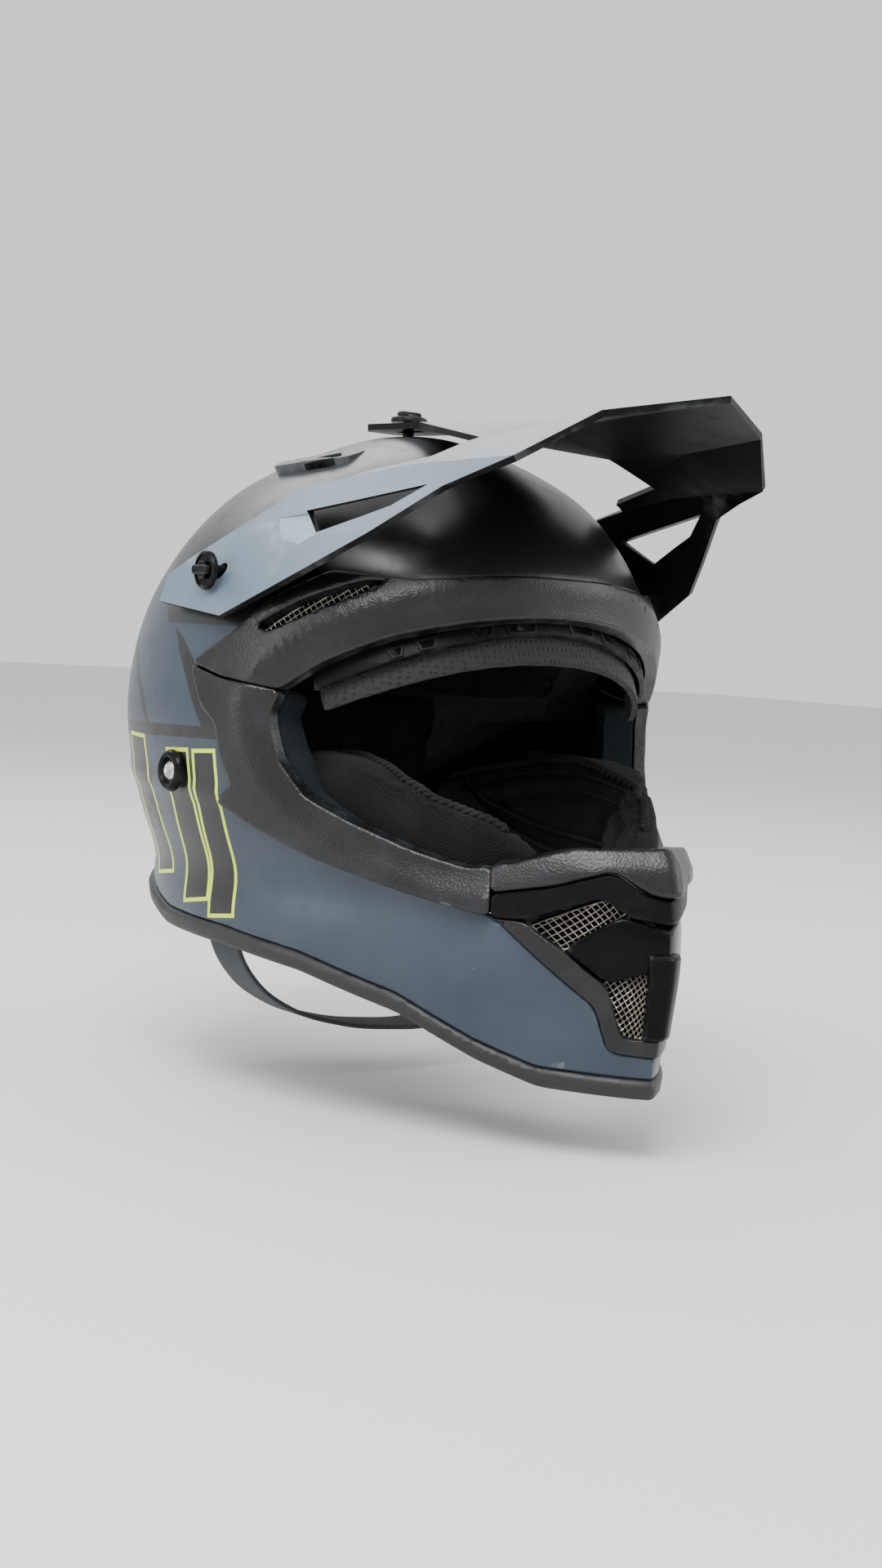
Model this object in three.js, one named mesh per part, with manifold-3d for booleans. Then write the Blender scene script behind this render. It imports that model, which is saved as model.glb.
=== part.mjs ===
// A motocross helmet as worn on an upright head, in millimetres.
// The origin is the head's centre, level with the ears. +Z is up, the face looks along -Y and the
// wearer's left is +X. Everything is symmetric about X = 0 except the chin strap's buckle.
import * as THREE from 'three';
import { mergeVertices } from 'three/addons/utils/BufferGeometryUtils.js';
import { ConvexGeometry } from 'three/addons/geometries/ConvexGeometry.js';
import Module from 'manifold-3d';

const wasm = await Module();
wasm.setup();

// ---- driving dimensions -------------------------------------------------------------------

// The helmet's outer skin is a stack of level sections. Each row gives a height, the half width,
// the reach forward and the reach back from SKIN_Y, and two exponents: the first flattens the nose of
// the section and the second straightens its cheeks, which turns the chin into a V.
const SKIN_Y = -12;
const SECTIONS = [
  [-110, 86, 184, 110, 1.7, 0.8],
  [-80, 95, 187, 116, 1.7, 0.8],
  [-50, 101, 190, 120, 1.7, 0.8],
  [-20, 106, 187, 127, 1.75, 0.8],
  [10, 114, 176, 134, 1.85, 0.72],
  [40, 117, 146, 136, 2, 0.58],
  [75, 111, 121, 131, 2.1, 0.5],
  [105, 98, 109, 114, 2.1, 0.5],
  [132, 75, 90, 91, 2.1, 0.5],
  [154, 37, 49, 50, 2.1, 0.5],
  [163.5, 0, 0, 0, 2.1, 0.5],
];
const SKIN_ROWS = 18;
const SKIN_COLUMNS = 36;

const GAP = 0.4;             // clear space between two pieces that meet
const SHELL_WALL = 4;
const TRIM_PROUD = 2.2;      // how far the port trims stand out of the skin
const TRIM_DEPTH = 9;        // how far they reach in behind it
const RIM_HEIGHT = 8;        // rubber bead round the bottom edge

// Outlines seen from the side, as [Y, Z]. They run past the nose so that they cut the front open.
const NOSE = -240;
const EYEPORT = [
  [NOSE, 86], [-131, 85], [-106, 73], [-86, 60], [-71, 47], [-67, 36], [-71, 18], [-82, 3],
  [-99, -5], [-123, -14], [-143, -19], [-158, -15], [-176, -7], [NOSE, -2],
];
const SHELL_PORT = [
  [NOSE, 101], [-124, 100], [-104, 95], [-78, 97], [-58, 84], [-44, 69], [-22, 55], [-33, 37],
  [-42, 31], [-43, 20], [-48, 6], [-37, -2], [-57, -11], [-84, -21], [-122, -31], [-153, -37],
  [-184, -69], [-187, -87], [NOSE, -93],
];
const TRIM_SEAM = [[-22, 55], [-44, 50], [-71, 47]];
const RIM = [
  [NOSE, -107], [-165, -104], [-144, -96], [-115, -81], [-72, -70], [-30, -65], [20, -63], [60, -54],
  [160, -44],
];

// The wearer's head with hair: half breadth, half length, height above and depth below HEAD_Z.
const HEAD_Z = 10;
const HEAD = [81, 102, 117, 210];
const COMFORT = 8;           // thickness of the padding on the crown

// Peak: it tilts about the line through its two side screws.
const TILT_Y = -28;
const TILT_Z = 95;
const PEAK_WALL = 3;
const SCREW_RADIUS = 8.5;
const SIDE_SCREW_X = 115.2;   // where the side screws' heads begin
const TOP_SCREW_Y = -7;
const SLOT_FRONT = -13.5;    // ends of the slot that the top screw slides along, to its end centres
const SLOT_BACK = -3;

// Chin strap: it swings about the line through its two rivets.
const STRAP_Y = -8;
const STRAP_Z = 8;
const STRAP_WIDTH = 24;
const STRAP_THICKNESS = 1.8;
const RIVET_X = 111;

// ---- materials ----------------------------------------------------------------------------

function material(colour, roughness, metalness = 0) {
  return new THREE.MeshStandardMaterial({ color: colour, roughness, metalness });
}
const PAINT = material(0x55636f, 0.5);
const MOULDING = material(0x1b1c1e, 0.6);
const GLOSS = material(0x0a0a0b, 0.15);
const RUBBER = material(0x101112, 0.7);
const FOAM = material(0x1a1b1c, 0.9);
const KNIT = material(0x141516, 0.95);
const MESH_WIRE = material(0xb5aea0, 0.4, 0.8);
const WEBBING = material(0x2a2e31, 0.9);
const STEEL = material(0xb8babd, 0.3, 1);

// ---- solids -------------------------------------------------------------------------------

const [X_AXIS, Y_AXIS, Z_AXIS] = [
  new THREE.Vector3(1, 0, 0), new THREE.Vector3(0, 1, 0), new THREE.Vector3(0, 0, 1),
];

function solid(geometry) {
  const bare = geometry.index ? geometry.toNonIndexed() : geometry.clone();
  bare.deleteAttribute('normal');
  bare.deleteAttribute('uv');
  const merged = mergeVertices(bare, 1e-4);
  return new wasm.Manifold(new wasm.Mesh({
    numProp: 3,
    vertProperties: new Float32Array(merged.attributes.position.array),
    triVerts: new Uint32Array(merged.index.array),
  }));
}

function union(solids) {
  return solids.reduce((whole, piece) => whole.add(piece));
}

// A cut can leave crumbs behind: the piece is the biggest of what is left.
function biggest(body) {
  return body.decompose().reduce((best, piece) => (piece.volume() > best.volume() ? piece : best));
}

const helmet = new THREE.Group();

function part(name, body, look) {
  const tidy = body.simplify(0.03).getMesh();
  const geometry = new THREE.BufferGeometry();
  geometry.setAttribute('position', new THREE.BufferAttribute(new Float32Array(tidy.vertProperties), 3));
  geometry.setIndex(new THREE.BufferAttribute(new Uint32Array(tidy.triVerts), 1));
  geometry.computeVertexNormals();
  const mesh = new THREE.Mesh(geometry, look);
  mesh.name = name;
  helmet.add(mesh);
}

const LEFT = 1;
const RIGHT = -1;
const SIDES = [['left', LEFT], ['right', RIGHT]];

// Turns a piece made on the wearer's right (-X) over to the side that is asked for.
function onSide(body, side) {
  return side === RIGHT ? body : body.mirror([1, 0, 0]);
}

// ---- the skin -----------------------------------------------------------------------------

// Value of one column of SECTIONS at a height, by a smooth curve through the rows.
function section(column, height) {
  let row = SECTIONS.findIndex((entry) => entry[0] >= height);
  row = Math.min(Math.max(row, 1), SECTIONS.length - 1);
  const [a, b] = [SECTIONS[row - 1], SECTIONS[row]];
  const before = SECTIONS[Math.max(row - 2, 0)];
  const after = SECTIONS[Math.min(row + 1, SECTIONS.length - 1)];
  // Lengths are blended as squares, so that the crown closes in a round cap.
  const power = column < 4 ? 2 : 1;
  const value = (entry) => entry[column] ** power;
  const slope = (from, to) => (value(to) - value(from)) / (to[0] - from[0] || 1);
  const step = b[0] - a[0];
  const at = THREE.MathUtils.clamp((height - a[0]) / step, 0, 1);
  const startSlope = (row > 1 ? slope(before, b) : slope(a, b)) * step;
  const endSlope = (after !== b ? slope(a, after) : slope(a, b)) * step;
  const blended = value(a) * (1 + 2 * at) * (1 - at) ** 2 + startSlope * at * (1 - at) ** 2
    + value(b) * at ** 2 * (3 - 2 * at) + endSlope * at ** 2 * (at - 1);
  return Math.max(blended, 0) ** (1 / power);
}

// Point of the skin. The turn is 0 at the nose and half a circle at the back, and positive to the left.
function skinPoint(turn, height) {
  const along = Math.cos(turn);
  const reach = section(along > 0 ? 2 : 3, height);
  const flat = along > 0 ? section(4, height) : 2.2;
  const full = along > 0 ? section(5, height) : 0.5;
  const across = section(1, height) * Math.max(1 - Math.abs(along) ** flat, 0) ** full;
  return new THREE.Vector3(across * Math.sign(Math.sin(turn)), SKIN_Y - reach * along, height);
}

function skinNormal(turn, height) {
  const [turnStep, heightStep] = [0.03, 0.6];
  const around = skinPoint(turn + turnStep, height).sub(skinPoint(turn - turnStep, height));
  const up = skinPoint(turn, height + heightStep).sub(skinPoint(turn, height - heightStep));
  return around.cross(up).normalize();
}

// The whole space inside the skin, grown outwards by a distance or shrunk if that is negative.
function skin(grow) {
  const geometry = new THREE.SphereGeometry(1, SKIN_COLUMNS, SKIN_ROWS + 1);
  const position = geometry.attributes.position;
  const top = SECTIONS[SECTIONS.length - 1][0];
  const bottom = SECTIONS[0][0];
  for (let index = 0; index < position.count; index += 1) {
    const column = index % (SKIN_COLUMNS + 1);
    const row = Math.floor(index / (SKIN_COLUMNS + 1));
    const turn = (column % SKIN_COLUMNS) * 2 * Math.PI / SKIN_COLUMNS;
    const fall = Math.min(row / SKIN_ROWS, 1) ** 1.5;
    const height = top - (top - bottom) * fall;
    let point = new THREE.Vector3(0, SKIN_Y, top + grow);
    if (row > SKIN_ROWS) {
      point = new THREE.Vector3(0, SKIN_Y, bottom);
    } else if (row > 0) {
      point = skinPoint(turn, height).addScaledVector(skinNormal(turn, height), grow);
      point.x = turn === 0 || column * 2 === SKIN_COLUMNS ? 0 : point.x;
    }
    position.setXYZ(index, point.x, point.y, point.z);
  }
  return facingOut(solid(geometry), geometry);
}

// A mapped ball can come out inside out: then its triangles are wound the other way.
function facingOut(body, geometry) {
  if (body.volume() > 0) {
    return body;
  }
  const turned = geometry.toNonIndexed();
  const position = turned.attributes.position;
  const [a, c] = [new THREE.Vector3(), new THREE.Vector3()];
  for (let corner = 0; corner < position.count; corner += 3) {
    a.fromBufferAttribute(position, corner);
    c.fromBufferAttribute(position, corner + 2);
    position.setXYZ(corner, c.x, c.y, c.z);
    position.setXYZ(corner + 2, a.x, a.y, a.z);
  }
  return solid(turned);
}

const skins = new Map();
function layer(outer, inner) {
  for (const grow of [outer, inner]) {
    if (!skins.has(grow)) {
      skins.set(grow, skin(grow));
    }
  }
  return skins.get(outer).subtract(skins.get(inner));
}

function within(inner) {
  if (!skins.has(inner)) {
    skins.set(inner, skin(inner));
  }
  return skins.get(inner);
}

// ---- outlines -----------------------------------------------------------------------------

// The same outline drawn a distance outside itself, or inside if that is negative.
function grown(outline, distance) {
  const area = outline.reduce((sum, [y, z], index) => {
    const [nextY, nextZ] = outline[(index + 1) % outline.length];
    return sum + y * nextZ - nextY * z;
  }, 0);
  const outwards = distance * Math.sign(area);
  return outline.map(([y, z], index) => {
    const [fromY, fromZ] = outline[(index + outline.length - 1) % outline.length];
    const [toY, toZ] = outline[(index + 1) % outline.length];
    const before = new THREE.Vector2(z - fromZ, fromY - y).normalize();
    const after = new THREE.Vector2(toZ - z, y - toY).normalize();
    const corner = before.clone().add(after).normalize();
    const stretch = outwards / Math.max(corner.dot(before), 0.4);
    return [y + corner.x * stretch, z + corner.y * stretch];
  });
}

// Side-view outline made solid, from one X to another, with its corners rounded off.
function prism(outline, fromX, toX, radius = 3) {
  const corners = outline.map(([y, z]) => new THREE.Vector2(y, z));
  const shape = new THREE.Shape();
  corners.forEach((corner, index) => {
    const before = corners[(index + corners.length - 1) % corners.length];
    const after = corners[(index + 1) % corners.length];
    const cut = Math.min(radius, corner.distanceTo(before) / 2.2, corner.distanceTo(after) / 2.2);
    const start = corner.clone().add(before.clone().sub(corner).setLength(cut));
    const end = corner.clone().add(after.clone().sub(corner).setLength(cut));
    if (index === 0) {
      shape.moveTo(start.x, start.y);
    } else {
      shape.lineTo(start.x, start.y);
    }
    shape.quadraticCurveTo(corner.x, corner.y, end.x, end.y);
  });
  shape.closePath();
  const depth = toX - fromX;
  const geometry = new THREE.ExtrudeGeometry(shape, { depth, bevelEnabled: false, curveSegments: 2 });
  geometry.applyMatrix4(new THREE.Matrix4().makeBasis(Y_AXIS, Z_AXIS, X_AXIS).setPosition(fromX, 0, 0));
  return solid(geometry);
}

const HALF = 140;            // past the widest point of the helmet
function acrossBoth(outline, radius) {
  return prism(outline, -HALF, HALF, radius);
}
function onRight(outline, radius) {
  return prism(outline, -HALF, -GAP / 2, radius);
}

// ---- round pieces -------------------------------------------------------------------------

// A turned piece from a profile of [radius, height], with its axis along a direction.
function turned(profile, centre, direction, segments = 20) {
  const points = profile.map(([radius, height]) => new THREE.Vector2(radius, height));
  const geometry = new THREE.LatheGeometry(points, segments);
  const turn = new THREE.Quaternion().setFromUnitVectors(
    new THREE.Vector3(0, 1, 0), new THREE.Vector3(...direction).normalize());
  geometry.applyQuaternion(turn);
  geometry.translate(...centre);
  return solid(geometry);
}

function cylinder(radius, from, to, centre, direction, segments) {
  return turned([[0, from], [radius, from], [radius, to], [0, to]], centre, direction, segments);
}

// A flat wall between corner points, made thicker towards -normal.
function wall(corners, thickness, normal) {
  const outer = corners.map((corner) => new THREE.Vector3(...corner));
  const inwards = new THREE.Vector3(...normal).setLength(-thickness);
  const inner = outer.map((corner) => corner.clone().add(inwards));
  return solid(new ConvexGeometry([...outer, ...inner]));
}

// ---- shell and rim ------------------------------------------------------------------------

const aboveRim = [...RIM.map(([y, z]) => [y, z + RIM_HEIGHT + GAP / 2]), [160, 200], [NOSE, 200]];
const rimBand = [...RIM, ...RIM.map(([y, z]) => [y, z + RIM_HEIGHT - GAP / 2]).reverse()];

const HOLE_REACH = 14;       // how far each drilled hole reaches to both sides of its middle
function hole(radius, centre, direction) {
  return cylinder(radius, -HOLE_REACH, HOLE_REACH, centre, direction, 16);
}
const NUT_RADIUS = 5;
const rivetHole = (side) => hole(4.5, [side * RIVET_X, STRAP_Y, STRAP_Z], [1, 0, 0]);
const sideNutHole = (side) => hole(NUT_RADIUS, [side * 104, TILT_Y, TILT_Z], [1, 0, 0]);
const topNutHole = hole(NUT_RADIUS, [0, TOP_SCREW_Y, 160], [0, 0, 1]);

const fittingHoles = union([
  rivetHole(LEFT), rivetHole(RIGHT), sideNutHole(LEFT), sideNutHole(RIGHT), topNutHole,
]);
part('outer_shell', layer(0, -SHELL_WALL)
  .intersect(acrossBoth(aboveRim, 0.5))
  .subtract(acrossBoth(grown(SHELL_PORT, GAP / 2), 4))
  .subtract(fittingHoles), PAINT);
part('rim_trim', layer(1.5, -4.5).intersect(acrossBoth(rimBand, 0.5)), RUBBER);

// ---- port trims ---------------------------------------------------------------------------

const portFiller = layer(TRIM_PROUD, -TRIM_DEPTH)
  .intersect(acrossBoth(grown(SHELL_PORT, -GAP / 2), 4))
  .subtract(acrossBoth(EYEPORT, 8));

const TRIM_END = -152;       // where the lower trims end and the nose guard begins
const aboveSeam = [[NOSE, 120], [0, 120], [0, 60], ...TRIM_SEAM, [-90, 47], [NOSE, 47]];
const browVent = [[-55, 72], [-72, 84], [-92, 93], [-106, 94], [-92, 88], [-76, 78], [-62, 70]];
part('brow_trim', portFiller
  .intersect(acrossBoth(grown(aboveSeam, -GAP / 2), 0.5))
  .subtract(acrossBoth(browVent, 1)), MOULDING);

const belowSeam = [...TRIM_SEAM, [-90, 47], [TRIM_END, 20], [TRIM_END, -60], [0, -60], [0, 60]];
for (const [side, direction] of SIDES) {
  const trim = portFiller.intersect(onRight(grown(belowSeam, -GAP / 2), 0.5));
  part(`eyeport_trim_${side}`, onSide(trim, direction), MOULDING);
  const screen = layer(-3, -4.2).intersect(onRight(grown(browVent, -GAP), 1));
  part(`brow_vent_mesh_${side}`, onSide(screen, direction), MESH_WIRE);
}

// ---- nose and chin vent -------------------------------------------------------------------

const GUARD_HEM = [[-172, -22], [-187, -15], [-197, -24], [NOSE, -34]];
const COVER_HEM = [[NOSE, -44], [-193, -33], [-185, -26], [-163, -37]];
const NOSE_GUARD = [[TRIM_END, 20], [TRIM_END, -27], ...GUARD_HEM, [NOSE, 20]];
const VENT_COVER = [[TRIM_END, -27], ...GUARD_HEM, ...COVER_HEM, [TRIM_END, -37]];
const UPPER_VENT = [[-166, -40], [-186, -28], [-191, -31], [-175, -47]];
const BLADE = [[-175, -47], [-191, -31], [-215, -38], [-215, -42], [-197, -49], [-188, -60]];
const LOWER_VENT = [[-188, -60], [-197, -49], [-206, -52], [-206, -80], [-192, -80]];
const RIDGE_HALF = 7;

const chinFiller = layer(1.2, -6)
  .intersect(acrossBoth(grown(SHELL_PORT, -GAP / 2), 4))
  .intersect(acrossBoth([[TRIM_END - GAP, 20], [TRIM_END - GAP, -120], [NOSE, -120], [NOSE, 20]], 0.5));
const coverAndGuard = grown(
  [[TRIM_END, 20], [TRIM_END, -37], ...COVER_HEM.slice().reverse(), [NOSE, 20]], GAP / 2);
const RIDGE_TOP = -47;
const RIDGE_FOOT = -81;
const ridgeSlab = (top, foot, half) => prism(
  [[-150, top], [-150, foot], [NOSE, foot], [NOSE, top]], -half, half, 0.5);

part('nose_guard', layer(4.5, -TRIM_DEPTH)
  .intersect(acrossBoth(grown(NOSE_GUARD, -GAP / 2), 1))
  .subtract(acrossBoth(EYEPORT, 8)), MOULDING);
part('chin_vent_cover', layer(2.5, -6).intersect(acrossBoth(grown(VENT_COVER, -GAP / 2), 1)), MOULDING);
part('chin_vent_ridge', layer(4, -6)
  .intersect(ridgeSlab(RIDGE_TOP, RIDGE_FOOT, RIDGE_HALF))
  .intersect(acrossBoth(grown(SHELL_PORT, -GAP / 2), 4)), GLOSS);
part('chin_vent_frame', biggest(chinFiller
  .subtract(acrossBoth(coverAndGuard, 0.5))
  .subtract(ridgeSlab(-30, RIDGE_FOOT - GAP, RIDGE_HALF + GAP))
  .subtract(acrossBoth(UPPER_VENT, 1))
  .subtract(acrossBoth(LOWER_VENT, 1))
  .subtract(acrossBoth(grown(BLADE, GAP / 2), 1))), MOULDING);
for (const [side, direction] of SIDES) {
  const chinPrism = (outline) => prism(outline, -HALF, -RIDGE_HALF - 2 * GAP, 1);
  const blade = layer(0.6, -3).intersect(chinPrism(grown(BLADE, -GAP / 2)))
    .subtract(acrossBoth(coverAndGuard, 0.5));
  part(`chin_vent_blade_${side}`, onSide(blade, direction), GLOSS);
  part(`chin_mesh_upper_${side}`,
    onSide(layer(-3, -4.2).intersect(chinPrism(grown(UPPER_VENT, -GAP))), direction), MESH_WIRE);
  part(`chin_mesh_lower_${side}`,
    onSide(layer(-3, -4.2).intersect(chinPrism(grown(LOWER_VENT, -GAP))), direction), MESH_WIRE);
}

// ---- liners -------------------------------------------------------------------------------

function headForm(grow) {
  const geometry = new THREE.SphereGeometry(1, 28, 18);
  const position = geometry.attributes.position;
  const point = new THREE.Vector3();
  for (let index = 0; index < position.count; index += 1) {
    point.fromBufferAttribute(position, index);
    const [x, z, y] = [point.x, point.y, point.z];
    const rise = z > 0 ? HEAD[2] : HEAD[3];
    position.setXYZ(index, x * (HEAD[0] + grow), y * (HEAD[1] + grow), HEAD_Z + z * (rise + grow));
  }
  return facingOut(solid(geometry), geometry);
}

const FOAM_INSET = SHELL_WALL + GAP;
const foamOutline = [
  [NOSE, 94], [-100, 94], [-74, 82], [-46, 64], [-20, 46], [-14, 36], [30, 32], [60, 12], [100, -18],
  [160, -18], [160, 200], [NOSE, 200],
];
const behindTrims = within(-FOAM_INSET - TRIM_DEPTH);
const AIR_PORT = [[NOSE, 93], [-76, 93], [-76, 82], [NOSE, 82]];
part('impact_liner', within(-FOAM_INSET)
  .intersect(acrossBoth(foamOutline, 2))
  .subtract(acrossBoth(grown(AIR_PORT, GAP), 1))
  .subtract(headForm(COMFORT))
  .subtract(fittingHoles)
  .subtract(acrossBoth(grown(SHELL_PORT, GAP), 4).subtract(behindTrims)), FOAM);

// The padding that touches the head is cut from one hollow form.
const padding = headForm(COMFORT - GAP).subtract(headForm(0));
const crownOutline = [
  [NOSE, 94], [-55, 94], [-45, 62], [-20, 42], [160, 42], [160, 200], [NOSE, 200],
];
const rearOutline = [[52, 41], [160, 41], [160, -12], [60, -2]];
const browOutline = [[NOSE, 93], [-56, 93], [-50, 76], [-84, 68], [NOSE, 68]];
part('crown_pad', padding.intersect(acrossBoth(crownOutline, 2)), KNIT);
part('rear_pad', padding.intersect(acrossBoth(rearOutline, 2)), KNIT);
part('brow_pad', padding.intersect(acrossBoth(browOutline, 2)), KNIT);
part('brow_air_port', within(-TRIM_DEPTH - GAP)
  .subtract(headForm(COMFORT))
  .intersect(acrossBoth(AIR_PORT, 1)), MOULDING);

// The cheek pads fill the space beside the face and follow the inside of the chin bar forwards.
const PAD_OUTER = 81;        // clear of the strap, which hangs between the pad and the shell
const PAD_INNER = 58;
const PAD_FRONT_WALL = 16;   // thickness along X where a pad follows the chin bar
const cheekOutline = [
  [-156, -30], [-152, -10], [-142, 1], [-126, 7], [-108, 14], [-88, 20], [-68, 23], [-36, 18], [8, 11],
  [34, 3],
  [44, -12], [40, -38], [0, -48], [-60, -53], [-92, -56], [-106, -36], [-124, -34], [-144, -40],
];
const padSpace = within(-TRIM_DEPTH - 2);
const padBeside = prism([[-100, 40], [-100, -80], [60, -80], [60, 40]], -PAD_OUTER, -PAD_INNER, 1);
const padAhead = padSpace.subtract(padSpace.translate([PAD_FRONT_WALL, 0, 0]));
for (const [side, direction] of SIDES) {
  const pad = prism(cheekOutline, -PAD_OUTER, -HEAD[0] / 4, 10)
    .intersect(padSpace)
    .intersect(padBeside.add(padAhead));
  part(`cheek_pad_${side}`, onSide(biggest(pad), direction), KNIT);
}
const chinOutline = [
  [-118, -38], [-150, -45], [NOSE, -45], [NOSE, -94], [-160, -92], [-140, -84], [-112, -70],
];
// Both line the chin bar. Their walls are measured along Y, from a copy of their outside moved back.
const CHIN_FOAM_WALL = 18;
const CHIN_PAD_WALL = 8;
const chinSpace = within(-7);
const behindFoam = chinSpace.translate([0, CHIN_FOAM_WALL, 0]);
part('chin_foam', chinSpace.subtract(behindFoam).intersect(acrossBoth(chinOutline, 2)), FOAM);
part('chin_pad', chinSpace.translate([0, CHIN_FOAM_WALL + GAP, 0])
  .subtract(chinSpace.translate([0, CHIN_FOAM_WALL + CHIN_PAD_WALL, 0]))
  .intersect(acrossBoth(grown(chinOutline, -3), 2))
  .intersect(prism([[NOSE, -30], [0, -30], [0, -100], [NOSE, -100]], -52, 52, 1)), KNIT);
// Padding round the back of the neck, below the foam.
const NECK_WALL = 16;
const neckOutline = [[52, -19], [160, -19], [160, -38], [62, -46], [52, -46]];
part('neck_roll', layer(-FOAM_INSET - 2, -FOAM_INSET - 2 - NECK_WALL)
  .intersect(acrossBoth(neckOutline, 2)), KNIT);

// ---- peak and its screws ------------------------------------------------------------------

function mirrored(corners) {
  return corners.map(([x, y, z]) => [-x, y, z]);
}

// Walls on the wearer's right: corner points and the way each faces.
const PEAK_WALLS = [
  // roof from the ridge down to the brow line, then the shoulder down to the side edge
  [[[0, -108, 167], [-43, -108, 154], [-43, -192, 163], [0, -217, 172]], [-0.25, 0, 1]],
  [[[-43, -108, 154], [-43, -192, 163], [-68, -171, 144], [-71, -112, 142]], [-0.5, 0, 1]],
  // ridge running back to the tongue
  [[[0, -108, 167], [-36, -108, 156.5], [-15, -36, 168], [0, -36, 169]], [-0.15, 0, 1]],
  // side arm, from the side edge back to the plate under the side screw
  [[[-68, -171, 144], [-76, -137, 132], [-71, -112, 142]], [-1, -0.2, 0.6]],
  [[[-71, -112, 142], [-76, -137, 132], [-92, -112, 113], [-77, -74, 137]], [-1, -0.1, 0.6]],
  [[[-77, -74, 137], [-92, -112, 113], [-104, -93, 100], [-83, -46, 132]], [-1, -0.1, 0.5]],
  [[[-83, -46, 132], [-104, -93, 100], [-117, -42, 76], [-111, -2, 99]], [-1, -0.1, 0.4]],
  [[[-111, -2, 99], [-112, 11, 93], [-116, 11, 81], [-117, -42, 76]], [-1, 0, 0.15]],
  // flange along the top of the side arm
  [[[-71, -112, 142], [-77, -74, 137], [-70, -76, 140], [-62, -110, 146]], [-0.5, 0, 1]],
];
const SIDE_WINDOW = [[-128, 133], [-114, 124], [-78, 112], [-62, 122]];
const TONGUE_TOP = 169;
const TONGUE_WALL = 2.4;
const tongue = wall([[-14, -38], [14, -38], [14, 6], [9, 13], [-9, 13], [-14, 6]]
  .map(([x, y]) => [x, y, TONGUE_TOP]), TONGUE_WALL, [0, 0, 1]);
const slotEnd = (y) => cylinder(3.2, -8, 8, [0, y, TONGUE_TOP], [0, 0, 1], 12);
const slotStraight = wall([[-3.2, SLOT_FRONT], [3.2, SLOT_FRONT], [3.2, SLOT_BACK], [-3.2, SLOT_BACK]]
  .map(([x, y]) => [x, y, TONGUE_TOP + 8]), 16, [0, 0, 1]);
const tongueSlot = union([slotEnd(SLOT_FRONT), slotEnd(SLOT_BACK), slotStraight]);
const peakWalls = PEAK_WALLS.flatMap(([corners, normal]) => [
  wall(corners, PEAK_WALL, normal),
  wall(mirrored(corners), PEAK_WALL, [-normal[0], normal[1], normal[2]]),
]);
part('peak', union([...peakWalls, tongue])
  .subtract(acrossBoth(SIDE_WINDOW, 2))
  .subtract(tongueSlot)
  .subtract(cylinder(3.6, -HALF, HALF, [0, TILT_Y, TILT_Z], [1, 0, 0], 16)), PAINT);

// Button head with a raised knob to grip, on a threaded shank that ends in the nut.
function screw(centre, direction, shank) {
  const profile = [
    [0, -shank], [2.6, -shank], [2.6, 0], [SCREW_RADIUS, 0], [SCREW_RADIUS, 2], [SCREW_RADIUS - 1, 3],
    [3, 3.4], [2.4, 5.4], [0, 5.4],
  ];
  return turned(profile, centre, direction, 24);
}
const NUT_PROFILE = [[3, -5], [4.6, -5], [4.6, 4], [3, 4], [3, -5]];
part('peak_screw_top', screw([0, TOP_SCREW_Y, TONGUE_TOP + 1.2], [0, 0, 1], 16), GLOSS);
part('peak_nut_top', turned(NUT_PROFILE, [0, TOP_SCREW_Y, 158], [0, 0, 1], 16), STEEL);
for (const [side, direction] of SIDES) {
  part(`peak_screw_${side}`, screw([direction * SIDE_SCREW_X, TILT_Y, TILT_Z], [direction, 0, 0], 21), GLOSS);
  part(`peak_nut_${side}`,
    turned(NUT_PROFILE, [direction * 96, TILT_Y, TILT_Z], [direction, 0, 0], 16), STEEL);
}

// ---- crown vents --------------------------------------------------------------------------

const crownVent = [[-32, 147], [-26, 154], [-6, 152.5], [7, 141], [-12, 142.5]];
for (const [side, direction] of SIDES) {
  const hood = layer(4.5, GAP).intersect(onRight(crownVent, 3));
  part(`crown_vent_${side}`, onSide(hood, direction), PAINT);
}

// ---- chin strap ---------------------------------------------------------------------------

// Band of webbing along a path of [X, Z] points, as wide as the strap.
function webbing(path, steps) {
  const points = path.map(([x, z]) => new THREE.Vector3(x, z, 0));
  const curve = new THREE.CatmullRomCurve3(points, false, 'centripetal');
  const edge = (side) => Array.from({ length: steps + 1 }, (_, index) => {
    const at = curve.getPointAt(index / steps);
    const along = curve.getTangentAt(index / steps);
    return new THREE.Vector2(-along.y, along.x).multiplyScalar(side * STRAP_THICKNESS / 2).add(at);
  });
  const shape = new THREE.Shape([...edge(-1), ...edge(1).reverse()]);
  const geometry = new THREE.ExtrudeGeometry(shape, { depth: STRAP_WIDTH, bevelEnabled: false });
  const basis = new THREE.Matrix4().makeBasis(X_AXIS, Z_AXIS, Y_AXIS.clone().negate());
  geometry.applyMatrix4(basis.setPosition(0, STRAP_Y + STRAP_WIDTH / 2, 0));
  return solid(geometry);
}

// The two rings hang between the end loops of the straps. Their bars run along Y.
const RING_BAR = 3;
const RING_PITCH = 30;
const RING_ROOM = 1.2;       // beside the webbing inside a ring
const RING_TOP = new THREE.Vector2(78, -72);
const ringDown = new THREE.Vector2(-22, -20).normalize();
const ringOut = new THREE.Vector2(-ringDown.y, ringDown.x);

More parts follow.
